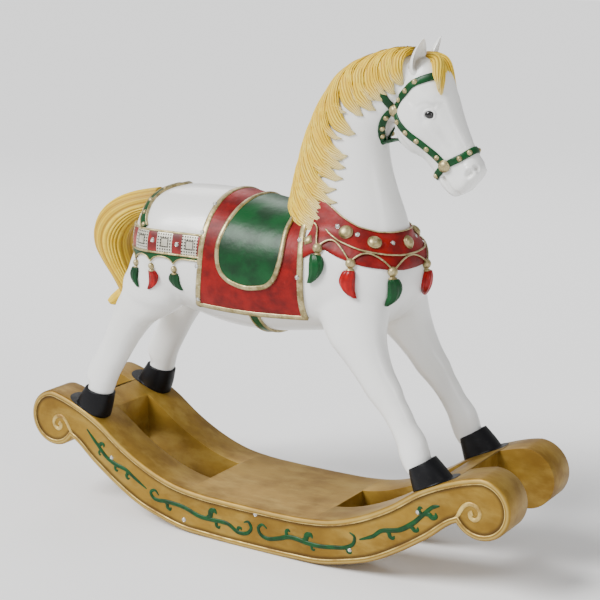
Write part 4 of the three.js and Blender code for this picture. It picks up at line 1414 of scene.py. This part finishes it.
# Each sprig of the vine: its stem, then its hooked leaves as places along the stem, a side and a size.
sprigs = [
    (
        [(-262, 113), (-250, 100), (-242, 92), (-230, 80), (-216, 73), (-204, 70), (-195, 67), (-184, 60),
         (-163, 48)],
        [(0.25, 1, 9), (0.3, -1, 7), (0.52, -1, 8), (0.78, -1, 9)],
    ),
    (
        [(-143, 43), (-149, 49), (-156, 45), (-152, 38), (-143, 36), (-129, 37), (-103, 35), (-79, 28),
         (-60, 27), (-34, 27), (-18, 19), (-4, 20), (3, 28), (-1, 36), (-8, 34)],
        [(0.36, -1, 10), (0.58, 1, 14), (0.60, -1, 9), (0.72, 1, 8)],
    ),
    (
        [(27, 33), (20, 37), (14, 31), (18, 23), (29, 20), (45, 24), (59, 29), (72, 29), (87, 27), (106, 27),
         (125, 30), (140, 33), (152, 40), (154, 50), (147, 54)],
        [(0.42, 1, 9), (0.56, 1, 13), (0.60, -1, 7), (0.80, -1, 8)],
    ),
    (
        [(161, 48), (179, 56), (192, 66), (215, 72), (233, 84), (246, 97), (258, 109), (268, 113)],
        [(0.35, -1, 10), (0.55, -1, 10), (0.72, 1, 9), (0.78, -1, 12)],
    ),
]
stem_girth = np.interp(np.linspace(0, 1, 80), [0, 0.12, 0.5, 0.9, 1], [1.0, 2.4, 3.3, 2.4, 0.9])
leaf_girth = 0.25 * np.interp(np.linspace(0, 1, 24), [0, 0.3, 0.75, 1], [0.5, 1.2, 1.0, 0.2])
leaf_hook = [(0, -0.5), (0.35, 0), (0.8, 0.1), (0.95, 0.5), (0.65, 0.75)]
vines = []
for side in (-1, 1):
    for stem, leaves in sprigs:
        line = smooth_curve(stem, 80)
        vines.append(relief_wire("stem", line, stem_girth, side * panel_face, 0.42))
        for at, turn_side, size in leaves:
            n = int(at * 79)
            ahead = unit(line[min(n + 1, 79)] - line[n - 1])
            out = np.array([-ahead[1], ahead[0]]) * turn_side
            hook = [line[n] + (out * across + ahead * on) * size for across, on in leaf_hook]
            hook = smooth_curve(hook, 24)
            vines.append(relief_wire("leaf", hook, size * leaf_girth, side * panel_face, 0.36))
vines = joined("base_vine", vines)
vine_green = Paint("vine green paint")
vine_mottle = vine_green.noise(90, 4)
vines.data.materials.append(
    vine_green.finish(
        vine_green.mix(vine_mottle.between(0.35, 0.7), (0.001, 0.055, 0.010), (0.001, 0.026, 0.005)),
        0.3 + 0.2 * vine_mottle,
        height=vine_mottle,
        depth=0.0004,
        specular_ior_level=0.25,
    )
)
for piece in (base, beads, vines):
    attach(piece, "root")
    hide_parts("rocker_base")


# The lamps: clear domed lenses pressed into blind holes, each with a fine silver collar round it.

bpy.context.view_layer.update()
trims = [
    BVHTree.FromObject(piece, bpy.context.evaluated_depsgraph_get())
    for piece in (white_body, cloth, cloth_border, collar, rump_band)
]


lens_profile = [(2.1, -2.0)]
lens_profile += [(2.3 * math.cos(a), 0.1 + 1.3 * math.sin(a)) for a in np.linspace(0, 1.45, 8)]
collar_profile = [(2.2, -2.0), (3.0, -2.0), (3.1, 0.2), (2.8, 0.6), (2.4, 0.55), (2.3, 0.1)]


def lamp_place(node):
    """Where a lamp's middle line leaves the finished surface, and the way that surface faces."""
    low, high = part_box(node)
    middle = (np.array(low) + np.array(high)) / 2
    if node.startswith("base"):
        out = math.copysign(1, middle[1])
        return np.array([middle[0], out * panel_face * millimetre, middle[2]]), np.array([0, out, 0.0])
    facing = on_skin(middle)[1]
    start = middle + facing * 0.03
    hits = [tree.ray_cast(Vector(start), Vector(-facing), 0.05)[0] for tree in trims]
    hits = [np.array(hit) for hit in hits if hit is not None]
    return max(hits, key=lambda hit: (hit - middle) @ facing), facing


lamp_nodes = [f"horse_lamp_{n}" for n in range(1, 25)] + [f"base_lamp_{n}" for n in range(1, 11)]
lamps = [lamp_place(node) for node in lamp_nodes]
rims = joined("lamp_collars", [turned("collar", *lamp, collar_profile, 24, closed=True) for lamp in lamps])
lenses = joined("lamp_lenses", [turned("lens", *lamp, lens_profile, 24) for lamp in lamps])
clear = two_tone(
    "clear lamp lens", 300, (0.93, 0.93, 0.90), (0.80, 0.81, 0.80), 0.08, coat=0.6, transmission_weight=0.55
)
lenses.data.materials.append(clear)
bright_silver = two_tone("silver lamp collar", 300, (0.62, 0.61, 0.56), (0.20, 0.19, 0.17), 0.25, 0.85)
rims.data.materials.append(bright_silver)
for piece in (lenses, rims):
    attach(piece, "root")
    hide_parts(*lamp_nodes)
